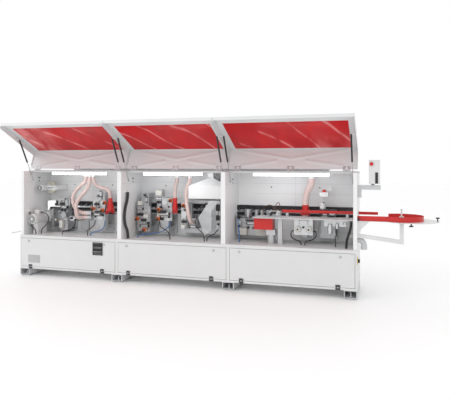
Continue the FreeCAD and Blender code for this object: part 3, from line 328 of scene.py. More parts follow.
white_coat = powder_coat("white_powder_coat", (0.74, 0.745, 0.745))
# painted light: a brighter copy of the white powder coat for the bay walls, end wall and duct,
# lighter than the same paint outside
inside_coat_painted_light = powder_coat("inside_white_coat_painted_light", (0.88, 0.885, 0.89), 0.42)
pale_grey_coat = powder_coat("pale_grey_coat", (0.60, 0.61, 0.62))
graphite_coat = powder_coat("graphite_coat", (0.085, 0.088, 0.095), 0.45)
signal_red = powder_coat("signal_red_coat", (0.62, 0.018, 0.016), 0.3, 0.08)
black_coat = powder_coat("black_coat", (0.018, 0.018, 0.02), 0.4, 0.1)
print("powder coats", 6)

# %% [markdown]
# ## Sheet with pressed creases
# The hoods' rear panels are large thin sheets, so the maker presses shallow diagonal creases
# into them to keep them from drumming.  A crease is a fold a few millimetres deep: a bump made
# from the distance to a sloping line shades just as the real fold does.

# %% Hood coat with creases
hood_coat = powder_coat("hood_coat", (0.74, 0.75, 0.755), 0.34)


def crease_height(coat):
    x, y, z = coat.xyz()
    height = 0.0
    spans = [(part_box("hood_%d" % number)[0][0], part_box("hood_%d" % number)[1][0])
             for number in (1, 2, 3)]
    rise = (z - spot(0, 0, 1515).z) / 0.275                  # 0 at the hinge, 1 at the bend
    for left, right in spans:
        across = ((x - (left + right) / 2) / ((right - left) / 2)).size()
        inside = across.under(1.0)
        upper = (rise - (across * 0.50 + 0.52)).size()
        lower = (rise - (0.53 - across * 0.42)).size()
        short = across.over(0.22) * across.under(0.80)
        fold = (1 - upper * 9).held() + (1 - lower * 9).held() * short
        height = inside * fold + height
    return height * rise.over(0.02) * rise.under(0.97)


hood_coat.bump(crease_height(hood_coat), 0.55, 0.012)
print("hood coat creased")

# %% [markdown]
# ## Clear red sheet
# The hood windows are transparent red plastic.  Against a bright room it reads as saturated red
# with long pale streaks where it mirrors the lamps of the hall, so the sheet gets a thin coat, a
# trace of transparency, and those streaks as painted reflections: a soft pattern of pale slanting
# patches and bands painted into its colour.

# %% Red window sheet with painted reflections
red_sheet = Finish("clear_red_sheet", (0.70, 0.008, 0.012), 0.35, Alpha=0.97, Coat_Weight=0.08,
                   Coat_Roughness=0.1, IOR=1.3)
streak = red_sheet.noise(1.0, 2, (1.1, 0.25, 0.35))
blot = red_sheet.noise(3.2, 5, (1.6, 0.7, 1.0))
# painted reflection: pale patches where both noises are high, standing for the hall's lamps
# mirrored in the sheet
painted_reflection = ((streak - 0.56) * 7).held() * ((blot - 0.40) * 3).held()
deep = red_sheet.blend(blot, (0.34, 0.002, 0.005), (0.74, 0.006, 0.010))
sheet_x, sheet_y = red_sheet.xyz()[:2]
# painted reflection: slanting pale bands, blended with the patches into the red base colour below
slant = (sheet_x * 2.1 - sheet_y * 1.6 + streak * 1.4).part()
beam = (1 - (slant - 0.3).size() * 14).held() * ((blot - 0.42) * 6).held()
red_sheet.feed(Base_Color=red_sheet.blend((painted_reflection * 0.6 + beam * 0.5).held(), deep,
                                          (0.96, 0.50, 0.48)))
print("red window sheet")

# %% [markdown]
# ## Bare metals
# Turned and ground steel shows fine parallel marks; cast and milled aluminium is rougher and
# cloudier.  Both come from noise stretched along one direction.

# %% Bare metals
def bare_metal(name, colour, roughness, stretch=(6, 1, 1), fine=90):
    metal = Finish(name, colour, roughness, Metallic=1.0)
    mark, cloud = metal.noise(fine, 4, stretch), metal.noise(9, 3)
    darker = tuple(channel * 0.72 for channel in colour)
    metal.feed(Base_Color=metal.blend(mark * 0.6 + cloud * 0.4, darker, colour),
               Roughness=mark * 0.25 + (roughness - 0.12))
    return metal.bump(mark, 0.2, 0.0004)


ground_steel = bare_metal("ground_steel", (0.66, 0.66, 0.67), 0.32)
turned_steel = bare_metal("turned_steel", (0.58, 0.59, 0.60), 0.28, (1, 9, 1))
zinc_steel = bare_metal("zinc_plated_steel", (0.62, 0.63, 0.66), 0.38, (1, 1, 3), 30)
milled_aluminium = bare_metal("milled_aluminium", (0.74, 0.75, 0.76), 0.42, (1, 6, 1), 60)
cast_metal = bare_metal("machined_casting", (0.66, 0.67, 0.68), 0.5, (1, 1, 1), 40)
print("bare metals", 5)

# %% [markdown]
# ## Rubber, plastic, cloth and lamp
# Small finishes for the rest: ribbed pads of the conveyor, opal light bars, moulded orange
# counters, stitched buffing cloth and the soft bodies of the cables.

# %% Plastics and rubber
def moulded(name, colour, roughness=0.45, **sockets):
    plastic = Finish(name, colour, roughness, **sockets)
    grain, cloud = plastic.noise(600, 2), plastic.noise(12, 3)
    shade = tuple(channel * 0.82 for channel in colour)
    plastic.feed(Base_Color=plastic.blend(cloud, shade, colour),
                 Roughness=cloud * 0.15 + (roughness - 0.07))
    return plastic.bump(grain, 0.15, 0.0003)


black_plastic = moulded("black_plastic", (0.02, 0.02, 0.022))
orange_plastic = moulded("orange_plastic", (0.80, 0.16, 0.02), 0.4)
red_plastic = moulded("red_button_plastic", (0.66, 0.01, 0.01), 0.25)
cream_plastic = moulded("cream_plastic", (0.74, 0.73, 0.68), 0.5)
blue_plastic = moulded("blue_plastic", (0.03, 0.12, 0.42), 0.4)
clear_cover = moulded("clear_cover", (0.80, 0.82, 0.83), 0.12, Alpha=0.45)
opal_lamp = moulded("opal_lamp", (0.95, 0.95, 0.93), 0.5, Emission_Strength=6.0)
opal_lamp.feed(Emission_Color=opal_lamp.blend(opal_lamp.noise(3), (0.96, 0.97, 1.0), (1, 1, 1)))

pad_rubber = moulded("pad_rubber", (0.03, 0.03, 0.032), 0.75)
pad_rubber.bump((pad_rubber.xyz()[1] * 700).wave(), 0.6, 0.0015)
buff_cloth = moulded("buff_cloth", (0.80, 0.77, 0.66), 0.9)
buff_cloth.bump((buff_cloth.xyz()[1] * 900).wave() + buff_cloth.noise(160, 3), 0.7, 0.002)
print("plastics and rubber")

# %% [markdown]
# ## Ribbed hose and cable sheath
# Suction hose is clear film round a coloured wire spiral, so it shows evenly spaced rings.
# The rings must follow the hose round its bends, so they read the curve's own map, which
# runs from 0 to 1 along the hose, and not the room's coordinates.

# %% Hose and cable finishes
def ribbed_hose(name, rings):
    hose = Finish(name, (0.80, 0.46, 0.42), 0.28, Alpha=0.86, Coat_Weight=0.3)
    along = hose.xyz("UV")[0]
    ring = ((along * rings * 6.2832).wave() * 0.5 + 0.5)
    film = hose.blend(hose.noise(14), (0.84, 0.74, 0.71), (0.90, 0.82, 0.79))
    hose.feed(Base_Color=hose.blend((ring * ring), film, (0.72, 0.40, 0.36)),
              Roughness=ring * 0.2 + 0.22)
    return hose.bump(ring, 0.9, 0.004)


def cable_sheath(name, colour, corrugated=0):
    sheath = moulded(name, colour, 0.5)
    if corrugated:
        sheath.bump((sheath.xyz("UV")[0] * corrugated * 6.2832).wave(), 0.9, 0.003)
    return sheath


hose_finish = ribbed_hose("ribbed_hose", 44)
wide_hose_finish = ribbed_hose("ribbed_wide_hose", 22)
for hose in hoses:
    hose.data.materials.append((wide_hose_finish if hose is hoses[-1] else hose_finish).material)

black_sheath = cable_sheath("black_cable", (0.025, 0.025, 0.028))
blue_sheath = cable_sheath("blue_cable", (0.05, 0.16, 0.42))
brown_sheath = cable_sheath("brown_cable", (0.16, 0.085, 0.045))
conduit_sheath = cable_sheath("corrugated_conduit", (0.05, 0.05, 0.055), 60)
bundle_sheath = cable_sheath("wrapped_bundle", (0.06, 0.06, 0.065), 75)
CABLE_FINISH = {"cable_wall": black_sheath, "cable_motor": black_sheath,
                "cable_bundle": bundle_sheath,
                "cable_fine_right": blue_sheath, "cable_corner_blue": blue_sheath,
                "cable_press_blue": blue_sheath, "cable_conduit": conduit_sheath,
                "cable_loop_left": brown_sheath, "cable_loop_right": brown_sheath}
for cable in cables:
    cable.data.materials.append(CABLE_FINISH.get(cable.name, black_sheath).material)
print("cords dressed", len(hoses) + len(cables))

# %% [markdown]
# ## Dress the solids
# Every solid keeps its shape and gets a finish like that of the real part.

# %% Finish of every solid
SOLID_FINISH = {
    white_coat: "base_frame base_door_1 base_door_2 base_door_3 control_box coil_table "
                "coil_disc buffing_motors",
    inside_coat_painted_light: "cabinet_walls infeed_end_wall extraction_duct",
    pale_grey_coat: "roof_panel table_plate control_arm support_beams",
    graphite_coat: "conveyor_beam pressure_beam",
    hood_coat: "hood_1 hood_2 hood_3",
    red_sheet: "hood_window_1 hood_window_2 hood_window_3",
    signal_red: "red_guards infeed_fence coil_rim",
    black_coat: "strut_cylinders_1 strut_cylinders_2 strut_cylinders_3 glue_pot glue_pot_lid "
                "isolator_switch",
    ground_steel: "strut_rods_1 strut_rods_2 strut_rods_3 end_trim_saw fine_trim_cutters "
                  "rough_trim_cutters",
    turned_steel: "main_press_roller glue_roller",
    zinc_steel: "cover_hinges",
    milled_aluminium: "support_rail feed_unit",
    cast_metal: "scraper_unit fine_trim_unit rough_trim_unit end_trim_unit edge_press_unit "
                "infeed_stands",
    pad_rubber: "conveyor_pads",
    buff_cloth: "buff_wheel_lower buff_wheel_upper",
    orange_plastic: "position_indicators",
    opal_lamp: "work_lights",
    clear_cover: "end_trim_cover",
    red_plastic: "e_stop_button",
    cream_plastic: "feed_roller_left feed_roller_right",
}
dressed = set()
for finish, names in SOLID_FINISH.items():
    for name in names.split():
        for holder in NODES[name].material_slots:
            holder.material = finish.material
        dressed.add(name)
print("solids dressed", len(dressed), "left",
      sorted(set(NODES) - dressed - {"suction_hoses", "bay_cables"}))

# %% [markdown]
# ## Small hardware
# Up close, the machine is full of screws, knobs, valves and covers.  Each kind is made once as
# a function that adds its shape to a growing mesh, so all the fittings of one finish are a
# single piece.  Nearly every edge gets a small bevel, because real edges catch the light.

# %% Blocks, drums and screws
def soften(mesh, faces, width):
    if width:
        edges = list({edge for face in faces for edge in face.edges})
        bmesh.ops.bevel(mesh, geom=edges, offset=width / 1000, affect="EDGES", segments=2,
                        profile=0.5, material=-1, clamp_overlap=True)


def add_block(mesh, x0, x1, y0, y1, z0, z1, edge=2.0):
    made = bmesh.ops.create_cube(mesh, size=1)["verts"]
    low, high = spot(x0, y0, z0), spot(x1, y1, z1)
    middle = (low + high) / 2
    shape = Matrix.Translation(middle) @ Matrix.Diagonal((*(high - low), 1))
    bmesh.ops.transform(mesh, verts=made, matrix=shape)
    soften(mesh, {face for corner in made for face in corner.link_faces}, edge)


AXES = {"x": Matrix.Rotation(math.pi / 2, 4, "Y"), "y": Matrix.Rotation(math.pi / 2, 4, "X"),
        "z": Matrix.Identity(4)}


def add_drum(mesh, x, y, z, axis, radius, length, edge=1.5, sides=24, far=None):
    made = bmesh.ops.create_cone(mesh, cap_ends=True, segments=sides, radius1=radius / 1000,
                                 radius2=(far if far is not None else radius) / 1000,
                                 depth=length / 1000)["verts"]
    place = Matrix.Translation(spot(x, y, z)) @ AXES[axis]
    bmesh.ops.transform(mesh, verts=made, matrix=place)
    caps = {face for corner in made for face in corner.link_faces if len(face.verts) > 4}
    soften(mesh, caps, edge)


def add_ring(mesh, x, y, z, outer, inner, depth):
    """A flat ring facing the front, spun from one small rectangle."""
    near, far = -depth / 2000, depth / 2000
    profile = [mesh.verts.new(spot(x, y, z) + Vector((r / 1000, d, 0)))
               for r, d in ((inner, near), (outer, near), (outer, far), (inner, far))]
    face = mesh.faces.new(profile)
    bmesh.ops.spin(mesh, geom=[face], cent=spot(x, y, z), axis=(0, 1, 0), angle=math.tau,
                   steps=28, use_merge=True)
    bmesh.ops.delete(mesh, geom=[face], context="FACES_ONLY")


def closed(mesh):
    bmesh.ops.remove_doubles(mesh, verts=mesh.verts, dist=0.00002)
    bmesh.ops.recalc_face_normals(mesh, faces=mesh.faces)
    return mesh


def finished_piece(name, mesh, body, finish):
    return new_piece(name, closed(mesh), body, finish.material)


print("hardware helpers ready")

# %% [markdown]
# ## Motors
# The buffing motors are painted white with cooling fins along the barrel, a fan cover with
# ring slots at the outer end, and a terminal box whose lid is held by four screws.  The fins
# are one long thin block turned round the barrel.

# %% Motor dress
def fan_end(white, dark, x, y, z, radius):
    add_drum(white, x, y - 7, z, "y", radius * 0.97, 14, 4, 32)
    # painted shade: the ring slots are black rings laid on the fan cover in place of openings
    for share in (0.82, 0.62, 0.42):
        add_ring(dark, x, y - 14.6, z, radius * share, radius * (share - 0.10), 2)
    add_drum(white, x, y - 16, z, "y", radius * 0.2, 5, 1.5)


motor_white, motor_dark = bmesh.new(), bmesh.new()
fan_end(motor_white, motor_dark, 150, 50, 800, 68)
fan_end(motor_white, motor_dark, 150, 228, 1240, 49)
for x, z, radius, start, end in ((150, 800, 68, 90, 340), (150, 1240, 49, 250, 400)):
    for number in range(28):
        angle = math.tau * number / 28
        fin = bmesh.ops.create_cube(motor_white, size=1)["verts"]
        shape = (Matrix.Translation(spot(x, (start + end) / 2, z)) @ Matrix.Rotation(angle, 4, "Y")
                 @ Matrix.Translation((radius / 1000 + 0.003, 0, 0))
                 @ Matrix.Diagonal((0.009, (end - start) / 1000, 0.0025, 1)))
        bmesh.ops.transform(motor_white, verts=fin, matrix=shape)
add_block(motor_white, 109, 191, 144, 256, 906, 926, 5)
for x in (118, 182):
    for y in (153, 247):
        add_drum(motor_dark, x, y, 927, "z", 4, 4, 1, 8)
add_drum(motor_dark, 192, 200, 885, "x", 11, 16, 2, 12)
motor_dress = finished_piece("motor_dress", motor_white, "machine", white_coat)
finished_piece("motor_grilles", motor_dark, "machine", black_plastic)
print("motors dressed", len(motor_dress.data.polygons), "faces")

# %% [markdown]
# ## Working heads
# The trimming, scraping and pressing heads are stacks of milled plates, round guide rods,
# small air cylinders, black valves and knurled knobs.  One list per bay says what sits where;
# a short function draws each kind into the mesh of its own finish.

# %% Kinds of fitting
bay_mesh = {kind: bmesh.new() for kind in ("black", "steel", "milled", "blue", "brass", "cream")}


def valve(x, y, z):
    add_block(bay_mesh["black"], x - 20, x + 20, y - 30, y, z - 14, z + 14, 3)
    add_drum(bay_mesh["milled"], x - 10, y - 32, z, "y", 6, 6, 1, 12)
    add_drum(bay_mesh["blue"], x + 12, y - 15, z + 19, "z", 4.5, 12, 1, 10)


def air_cylinder(x, y, z, length=90, radius=17, axis="x"):
    add_drum(bay_mesh["milled"], x, y - radius, z, axis, radius, length, 2)
    shift = {"x": (length / 2, 0, 0), "y": (0, length / 2, 0), "z": (0, 0, length / 2)}[axis]
    for side in (-1, 1):
        add_drum(bay_mesh["black"], x + side * shift[0], y - radius + side * shift[1],
                 z + side * shift[2], axis, radius + 2.5, 14, 2)
    add_drum(bay_mesh["steel"], x - 1.6 * shift[0], y - radius, z - 1.6 * shift[2], axis, 5,
             length * 0.5, 1, 12)


def knob(x, y, z, radius=13):
    add_drum(bay_mesh["steel"], x, y - 12, z, "y", 5, 26, 1, 12)
    add_drum(bay_mesh["black"], x, y - 30, z, "y", radius, 14, 3, 12)


def plate(x, y, z, wide=70, high=50):
    add_block(bay_mesh["milled"], x - wide / 2, x + wide / 2, y - 10, y, z - high / 2,
              z + high / 2, 2)
    for dx in (-1, 1):
        for dz in (-1, 1):
            add_drum(bay_mesh["black"], x + dx * (wide / 2 - 9), y - 12, z + dz * (high / 2 - 9),
                     "y", 5, 5,
                     1, 10)


def slide_pair(x, y, z, high=120):
    for dx in (-22, 22):
        add_drum(bay_mesh["steel"], x + dx, y - 12, z, "z", 8, high, 1.5, 16)
    add_block(bay_mesh["black"], x - 36, x + 36, y - 26, y, z - 18, z + 18, 3)
    add_block(bay_mesh["milled"], x - 36, x + 36, y - 22, y, z + high / 2 - 8, z + high / 2 + 8, 2)


def dark_block(x, y, z, wide=60, high=30, deep=30):
    add_block(bay_mesh["black"], x - wide / 2, x + wide / 2, y - deep, y, z - high / 2,
              z + high / 2, 3)


def cream_box(x, y, z, wide=70, high=60, deep=50):
    add_block(bay_mesh["cream"], x - wide / 2, x + wide / 2, y - deep, y, z - high / 2,
              z + high / 2, 5)


def gauge(x, y, z):
    add_drum(bay_mesh["brass"], x, y - 9, z, "y", 17, 18, 2)
    add_drum(bay_mesh["cream"], x, y - 19, z, "y", 14, 3, 0.5)


# %% What sits where: fitting, x, front face, z, then its own sizes
BAY_1 = [
    (plate, 330, 450, 1060, 60, 60), (slide_pair, 395, 430, 1000, 130), (knob, 470, 430, 1075),
    (air_cylinder, 440, 430, 950, 100, 20), (valve, 385, 430, 905), (valve, 440, 430, 905),
    (knob, 300, 450, 980, 15), (dark_block, 420, 430, 862, 110, 16, 40),
    (plate, 450, 430, 780, 50, 80),
    (cream_box, 395, 430, 700, 60, 110, 50), (gauge, 340, 350, 770), (knob, 330, 350, 860),
    (valve, 640, 300, 805), (air_cylinder, 660, 300, 780, 90, 14), (plate, 660, 300, 800, 90, 50),
    (slide_pair, 1000, 400, 1010, 90), (plate, 1080, 400, 1030, 60, 50),
    (dark_block, 1050, 400, 900, 150, 22, 30),
    (air_cylinder, 1010, 400, 860, 110, 16), (valve, 1090, 400, 855), (knob, 1050, 400, 965),
    (knob, 985, 400, 830), (plate, 1050, 400, 810, 120, 50),
    (cream_box, 1060, 470, 690, 60, 60, 40),
    (valve, 1015, 420, 1130), (air_cylinder, 1060, 420, 1160, 80, 18, "z"),
    (plate, 1040, 420, 1090, 90, 30),
    (knob, 1215, 420, 890), (dark_block, 1240, 420, 875, 130, 12, 20),
]
BAY_2 = [
    (air_cylinder, 1700, 400, 960, 90, 18), (plate, 1760, 400, 940, 80, 70),
    (dark_block, 1700, 400, 880, 90, 36),
    (cream_box, 1800, 400, 860, 70, 50), (slide_pair, 1750, 400, 800, 110), (knob, 1680, 400, 820),
    (air_cylinder, 1770, 400, 720, 120, 20), (valve, 1820, 400, 760),
    (plate, 1710, 400, 690, 80, 60),
    (cream_box, 1700, 420, 1040, 70, 60), (valve, 1760, 420, 1150),
    (air_cylinder, 1790, 420, 1090, 70, 16, "z"),
    (cream_box, 1975, 430, 1190, 90, 70, 30), (slide_pair, 1990, 400, 1060, 100),
    (plate, 2070, 400, 1060, 90, 70),
    (valve, 2010, 400, 990), (dark_block, 2060, 350, 930, 120, 44),
    (air_cylinder, 2080, 400, 860, 120, 18),
    (knob, 2140, 400, 1000), (knob, 2150, 400, 900, 15), (plate, 2110, 400, 830, 110, 50),
    (dark_block, 2030, 400, 830, 60, 40), (gauge, 1975, 400, 870), (plate, 2360, 400, 900, 80, 90),
    (slide_pair, 2365, 400, 800, 110), (knob, 2340, 400, 1010), (valve, 2380, 400, 960),
    (cream_box, 2360, 400, 730, 60, 50), (air_cylinder, 2490, 440, 730, 90, 18),
    (plate, 2680, 440, 960, 70, 70),
    (dark_block, 2850, 420, 1000, 50, 90), (dark_block, 2850, 420, 860, 50, 60),
    (air_cylinder, 2840, 420, 930, 70, 16, "z"),
    (knob, 2860, 420, 780, 15), (plate, 2840, 420, 740, 60, 40),
]
BAY_3 = [
    (dark_block, 3140, 430, 880, 50, 30), (plate, 3140, 430, 820, 50, 60), (valve, 3140, 430, 760),
    (plate, 3450, 430, 850, 50, 60), (knob, 3140, 430, 900),
    (air_cylinder, 3300, 480, 800, 110, 20),
    (valve, 3250, 480, 740), (valve, 3330, 480, 740), (dark_block, 3300, 480, 840, 160, 18),
    (cream_box, 3200, 480, 690, 90, 90, 60), (cream_box, 3450, 480, 690, 130, 100, 60),
    (dark_block, 3640, 300, 965, 70, 30, 20), (valve, 3600, 300, 945),
    (plate, 3690, 300, 945, 50, 50),
    (dark_block, 4230, 432, 965, 50, 70), (knob, 4290, 432, 990),
    (air_cylinder, 4280, 432, 950, 70, 14),
    (plate, 4370, 432, 960, 80, 40), (dark_block, 4360, 432, 915, 90, 26), (knob, 4345, 432, 1000),
    (plate, 4035, 240, 860, 120, 50), (knob, 4035, 240, 800),
    (cream_box, 4620, 380, 700, 60, 50, 60), (plate, 4540, 240, 860, 50, 30),
]
for fitting, *where in BAY_1 + BAY_2 + BAY_3:
    fitting(*where)
FITTING_FINISH = {"black": (black_plastic, "black_steel"), "steel": (ground_steel, "bright_steel"),
                  "milled": (milled_aluminium, "aluminium_unit"),
                  "blue": (blue_plastic, "black_steel"),
                  "brass": (bare_metal("brass_body", (0.72, 0.52, 0.24), 0.35), "bright_steel"),
                  "cream": (cream_plastic, "lamp_diffuser")}
for kind, mesh in bay_mesh.items():
    finish, slot_name = FITTING_FINISH[kind]
    piece = finished_piece("fittings_" + kind, mesh, "machine", finish)
    print(piece.name, len(piece.data.polygons), "faces")

# %% [markdown]
# ## Position indicators
# Each orange counter shows a stop position behind a dark window, and is turned by a black
# knob below it.  The solid gives the case; a rounded cover, window and knob go over it.

# %% Counter covers
INDICATORS = ((1142, 350, 1033), (964, 335, 944), (1111, 335, 926), (1686, 300, 824),
              (1818, 250, 681),
              (2014, 300, 961), (2007, 300, 834), (2172, 350, 1086), (2365, 350, 1018))
covers, windows = bmesh.new(), bmesh.new()
for x, y, z in INDICATORS:
    add_block(covers, x - 22, x + 22, y - 2, y + 28, z - 10, z + 27, 6)
    add_block(windows, x - 13, x + 13, y - 4, y, z + 8, z + 19, 1)
    add_drum(windows, x, y - 14, z - 5, "y", 18.5, 25, 4, 14)
finished_piece("counter_covers", covers, "machine", orange_plastic)
finished_piece("counter_knobs", windows, "machine", black_plastic)
print("counters", len(INDICATORS))

# %% [markdown]
# ## Doors
# The base doors turn on black pin hinges along their lower edge and close with small round
# quarter-turn locks.  The first door also has a fan with a black louvred guard.

# %% Door hardware
door_boxes = [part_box("base_door_%d" % number) for number in (1, 2, 3)]
door_spans = [(low[0], high[0]) for low, high in door_boxes]
door_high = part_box("base_door_2")[1][2] * 1000
lower_leaves = bmesh.new()
for number, (left, right) in enumerate(door_spans, 1):
    left_mm, right_mm = ((edge - walls_low[0]) * 1000 for edge in (left, right))
    black, steel = bmesh.new(), bmesh.new()
    for x in (left_mm + 150, right_mm - 195):
        add_block(black, x - 29, x + 29, -28.5, -22, 141, 163, 2)
        add_block(lower_leaves, x - 29, x + 29, -26, -20, 104, 124, 2)
        for dx in (-18, 18):
            add_drum(steel, x + dx, -29, 154, "y", 4, 3, 0.8, 10)
            add_drum(black, x + dx * 0.98, -28, 134, "x", 6.6, 17, 1.5, 14)
    for x in (left_mm + 125, right_mm - 165):
        add_ring(steel, x, -26.6, 494, 17, 11, 3)
        add_block(black, x - 2, x + 2, -28, -25.5, 486, 502, 0.5)
    if number == 1:
        add_block(black, right_mm - 334, right_mm - 190, -25.5, -22.5, door_high - 180,
                  door_high - 20, 1)
        for row in range(9):
            z = door_high - 160 + row * 15
            add_block(black, right_mm - 324, right_mm - 200, -30, -25, z - 5, z + 6, 1.5)
        add_block(black, right_mm - 340, right_mm - 184, -29, -26.5, door_high - 187,
                  door_high - 172, 2)
        add_block(black, right_mm - 340, right_mm - 184, -29, -26.5, door_high - 28,
                  door_high - 13, 2)
        for x in (right_mm - 340, right_mm - 199):
            add_block(black, x, x + 15, -29, -26.5, door_high - 187, door_high - 13, 2)
    body = "base_door_%d" % number
    finished_piece("door_%d_black_trim" % number, black, body, black_plastic)
    finished_piece("door_%d_lock_rings" % number, steel, body, zinc_steel)
finished_piece("door_hinge_leaves", lower_leaves, "machine", black_plastic)
print("doors fitted", len(door_spans))

# %% [markdown]
# ## Hood hardware
# Each hood hangs on three hinges; each hinge has a pair of tabs and a pair of domed screws on
# the rear panel.  The hardware has to ride on its hood, so it is laid out in the open hood's
# own plane.

# %% Screws on the open hoods
HOOD_OPEN_DEGREES = 112.7
hinge_line = spot(0, 200, 1515)
open_turn = Matrix.Rotation(math.radians(-HOOD_OPEN_DEGREES), 4, "X")


def on_hood(x, along, inside=0.0):
    """A point on the rear panel's inner face, measured from the hinge, with the hood open."""
    closed_place = Vector((0, -along / 1000, -0.003 - inside / 1000))
    on_hinge = Vector((spot(x, 0, 0).x, hinge_line.y, hinge_line.z))
    return on_hinge + open_turn.to_3x3() @ closed_place


def add_dome(mesh, place, radius):
    made = bmesh.ops.create_uvsphere(mesh, u_segments=10, v_segments=6,
                                     radius=radius / 1000)["verts"]
    flat = Matrix.Translation(place) @ open_turn @ Matrix.Diagonal((1, 1, 0.45, 1))
    bmesh.ops.transform(mesh, verts=made, matrix=flat)


for number in (1, 2, 3):
    low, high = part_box("hood_%d" % number)
    left, right = ((edge[0] - walls_low[0]) * 1000 for edge in (low, high))
    screws, tabs = bmesh.new(), bmesh.new()
    for share in (0.08, 0.5, 0.92):
        x = left + share * (right - left)
        for dx in (-16, 16):
            add_dome(screws, on_hood(x + dx, 46), 6)
        for side in (-1, 1):
            tab = bmesh.ops.create_cube(tabs, size=1)["verts"]
            shape = (Matrix.Translation(on_hood(x + side * 31, 30, 1.5)) @ open_turn
                     @ Matrix.Diagonal((0.028, 0.05, 0.003, 1)))
            bmesh.ops.transform(tabs, verts=tab, matrix=shape)
    soften(tabs, tabs.faces[:], 0.8)
    body = "hood_%d" % number
    finished_piece("hood_%d_screws" % number, screws, body, black_plastic)
    finished_piece("hood_%d_tabs" % number, tabs, body, zinc_steel)
print("hood hardware on", 3, "hoods")

# %% [markdown]
# ## Inside the bays
# The walls have cable holes and a seam where two sheets meet; the back wall is made of panels with
# visible joints.  The joints are thin grey strips along the surface, and the holes are thin dark
# discs and not real openings: painted shade where an opening would be dark.

# %% Seams and cable holes
seams, holes = bmesh.new(), bmesh.new()
for x0, x1 in ((44, 1549), (1607, 3021), (3079, 4656)):
    for z in (1190, 1330):
        add_block(seams, x0 + 200, x1 - 4, 641.6, 643.4, z - 1.5, z + 1.5, 0)
    add_block(seams, (x0 + x1) / 2 - 1.5, (x0 + x1) / 2 + 1.5, 641.6, 643.4, 1034, 1470, 0)
    add_block(seams, x0 - 0.3, x0 + 1, 20, 620, 1328, 1331, 0)
    add_block(seams, x0 + 4, x1 - 4, 641.6, 643.4, 700, 703, 0)
    # black discs: painted shade standing in for the cable holes
    for y, z in ((330, 1390), (360, 1390), (345, 1345)):
        add_drum(holes, x0 + 0.2, y, z, "x", 11, 1.6, 0.4, 16)
    for x in ((x0 + x1) / 2 - 330, (x0 + x1) / 2 + 320):
        add_drum(holes, x, 642.4, 1280, "y", 9, 1.8, 0.4, 14)
finished_piece("panel_seams", seams, "machine", pale_grey_coat)
finished_piece("painted_cable_hole_shade", holes, "machine", black_plastic)

# %% [markdown]
# ## Pressure rollers
# A row of rubber-tyred rollers holds the panel on the chain.  From the front one sees their
# dark tyres with a bright hub in the middle.

# %% Roller faces
tyres, hubs = bmesh.new(), bmesh.new()
ROLLER_PITCH, ROLLER_HEIGHT, LAST_ROLLER = 90, 968, 4590
beam_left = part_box("pressure_beam")[0][0]
first = (beam_left - walls_low[0]) * 1000 + 50
for number in range(50):
    x = first + number * ROLLER_PITCH
    if x < LAST_ROLLER:
        add_ring(tyres, x, 662.2, ROLLER_HEIGHT, 20.6, 11, 4)
        add_drum(hubs, x, 662.6, ROLLER_HEIGHT, "y", 9, 3.4, 1, 12)
finished_piece("roller_tyres", tyres, "pressure_beam", black_plastic)
finished_piece("roller_hubs", hubs, "pressure_beam", ground_steel)
print("rollers faced")

# %% [markdown]
# ## Glue head
# The glue unit stands on the table: a black clamp body and hopper, a white cylinder on a bright
# post, and on top a white switch box with a red lamp.  The solid is replaced by these pieces,
# each with its own finish.

# %% Glue head pieces
clamp, chrome, white, lamp = (bmesh.new() for _ in range(4))
add_block(clamp, 4200, 4310, 432, 580, 930, 1010, 6)
add_block(clamp, 4310, 4325, 450, 550, 940, 980, 2)
HOPPER_WALLS = ((4325, 4329, 432, 560), (4416, 4420, 432, 560), (4329, 4416, 432, 436),
                (4329, 4416, 556, 560))
for x0, x1, y0, y1 in HOPPER_WALLS:
    add_block(clamp, x0, x1, y0, y1, 930, 1000, 1)
add_block(clamp, 4329, 4416, 436, 556, 930, 950, 1)
for x in (4335, 4402):
    add_block(clamp, x, x + 8, 556, 566, 1000, 1014, 1)
add_drum(white, 4245, 480, 1054, "z", 36, 70, 6, 28)
add_drum(chrome, 4245, 480, 1015, "z", 37, 9, 2, 28)
add_drum(chrome, 4262, 480, 1130, "z", 12, 84, 1, 20)
add_block(white, 4205, 4320, 440, 520, 1170, 1230, 7)
add_block(white, 4268, 4352, 530, 534, 1228, 1296, 2)
add_drum(clamp, 4262, 480, 1096, "z", 15, 10, 2, 20)
add_drum(lamp, 4262, 480, 1234, "z", 29, 8, 2, 24)
add_drum(lamp, 4262, 480, 1251, "z", 25, 26, 5, 24, far=15)
glue_body = finished_piece("glue_head_body", clamp, "machine", black_coat)
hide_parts("glue_pot")
finished_piece("glue_head_post", chrome, "machine", ground_steel)
finished_piece("glue_head_white", white, "machine", white_coat)
finished_piece("glue_head_lamp", lamp, "machine", red_plastic)
print("glue head built")

# %% [markdown]
# ## Feed discs, control box and coil table
# The last pieces at the infeed end: white discs with dark hubs that pull the strip, a rim and
# screw cover on the stop button, and knobs on the coil board.

# %% Discs
for name, x in (("left", 3965), ("right", 4102)):
    face, hub = bmesh.new(), bmesh.new()
    add_drum(face, x, 204, 773, "y", 39.5, 8, 2.5, 36)
    add_drum(face, x, 231, 773, "y", 38.5, 5, 2, 36)
    add_drum(hub, x, 198, 773, "y", 12, 5, 1.5, 20)
    add_ring(hub, x, 199.7, 773, 31, 29, 1.5)
    body = "feed_roller_" + name
    new_piece("disc_%s_face" % name, closed(face), body, cream_plastic.material)
    new_piece("disc_%s_hub" % name, closed(hub), body, black_plastic.material)

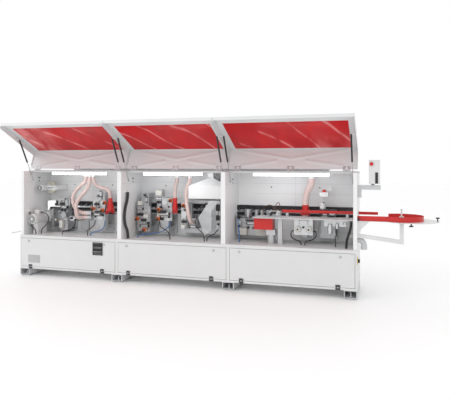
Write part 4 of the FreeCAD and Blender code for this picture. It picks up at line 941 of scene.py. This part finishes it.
# %% Control box trim
trim, collar = bmesh.new(), bmesh.new()
add_block(trim, 4903, 4935, 44.5, 50, 1362, 1492, 2)
for x in (4838, 4950):
    for z in (1366, 1631):
        add_drum(collar, x, 49, z, "y", 4, 3, 0.8, 10)
add_ring(collar, 4861, 48.6, 1592, 27, 21, 4)
add_drum(trim, 4875, 102.5, 1352, "z", 20, 7, 2, 20)
finished_piece("control_box_trim", trim, "control_box", black_plastic)
finished_piece("control_box_screws", collar, "control_box", zinc_steel)

# %% Coil board knobs and centre post
knobs, post = bmesh.new(), bmesh.new()
add_drum(knobs, 5600, 250, 959, "z", 22, 14, 3, 16)
add_drum(knobs, 5600, 250, 938, "z", 7, 42, 1, 12)
add_drum(knobs, 5300, 30, 877, "z", 24, 14, 3, 16)
add_drum(knobs, 5300, 30, 893, "z", 8, 44, 1, 12)
add_drum(knobs, 4712, 40, 940, "x", 16, 24, 3, 16)
finished_piece("coil_board_knobs", knobs, "machine", black_plastic)
add_drum(post, 5200, 250, 1048, "z", 14, 10, 2, 18)
add_drum(post, 5200, 250, 966, "z", 30, 5, 2, 24)
finished_piece("coil_post_cap", post, "coil_disc", ground_steel)

# %% Service elbow and switch plate
elbow, plate_mesh = bmesh.new(), bmesh.new()
section = bmesh.ops.create_circle(elbow, cap_ends=True, segments=24, radius=0.034)["verts"]
bmesh.ops.transform(elbow, verts=section,
                    matrix=Matrix.Translation(spot(4702, 130, 690)) @ AXES["x"])
bmesh.ops.spin(elbow, geom=elbow.faces[:], cent=spot(4702, 130, 620), axis=(0, 1, 0),
               angle=math.pi / 2, steps=10, use_merge=False)
add_drum(elbow, 4772, 130, 596, "z", 39, 48, 3, 24)
add_drum(elbow, 4706, 130, 690, "x", 42, 10, 3, 24)
finished_piece("service_elbow", elbow, "machine", pale_grey_coat)
add_block(plate_mesh, 4700.5, 4706.5, 14, 96, 404, 486, 3)
new_piece("switch_plate", closed(plate_mesh), "machine",
          moulded("yellow_plastic", (0.80, 0.52, 0.03)).material)
print("infeed end finished")

# %% [markdown]
# ## Finish
# New pieces may not make the machine bigger than its solids.

# %% The end
bpy.context.view_layer.update()
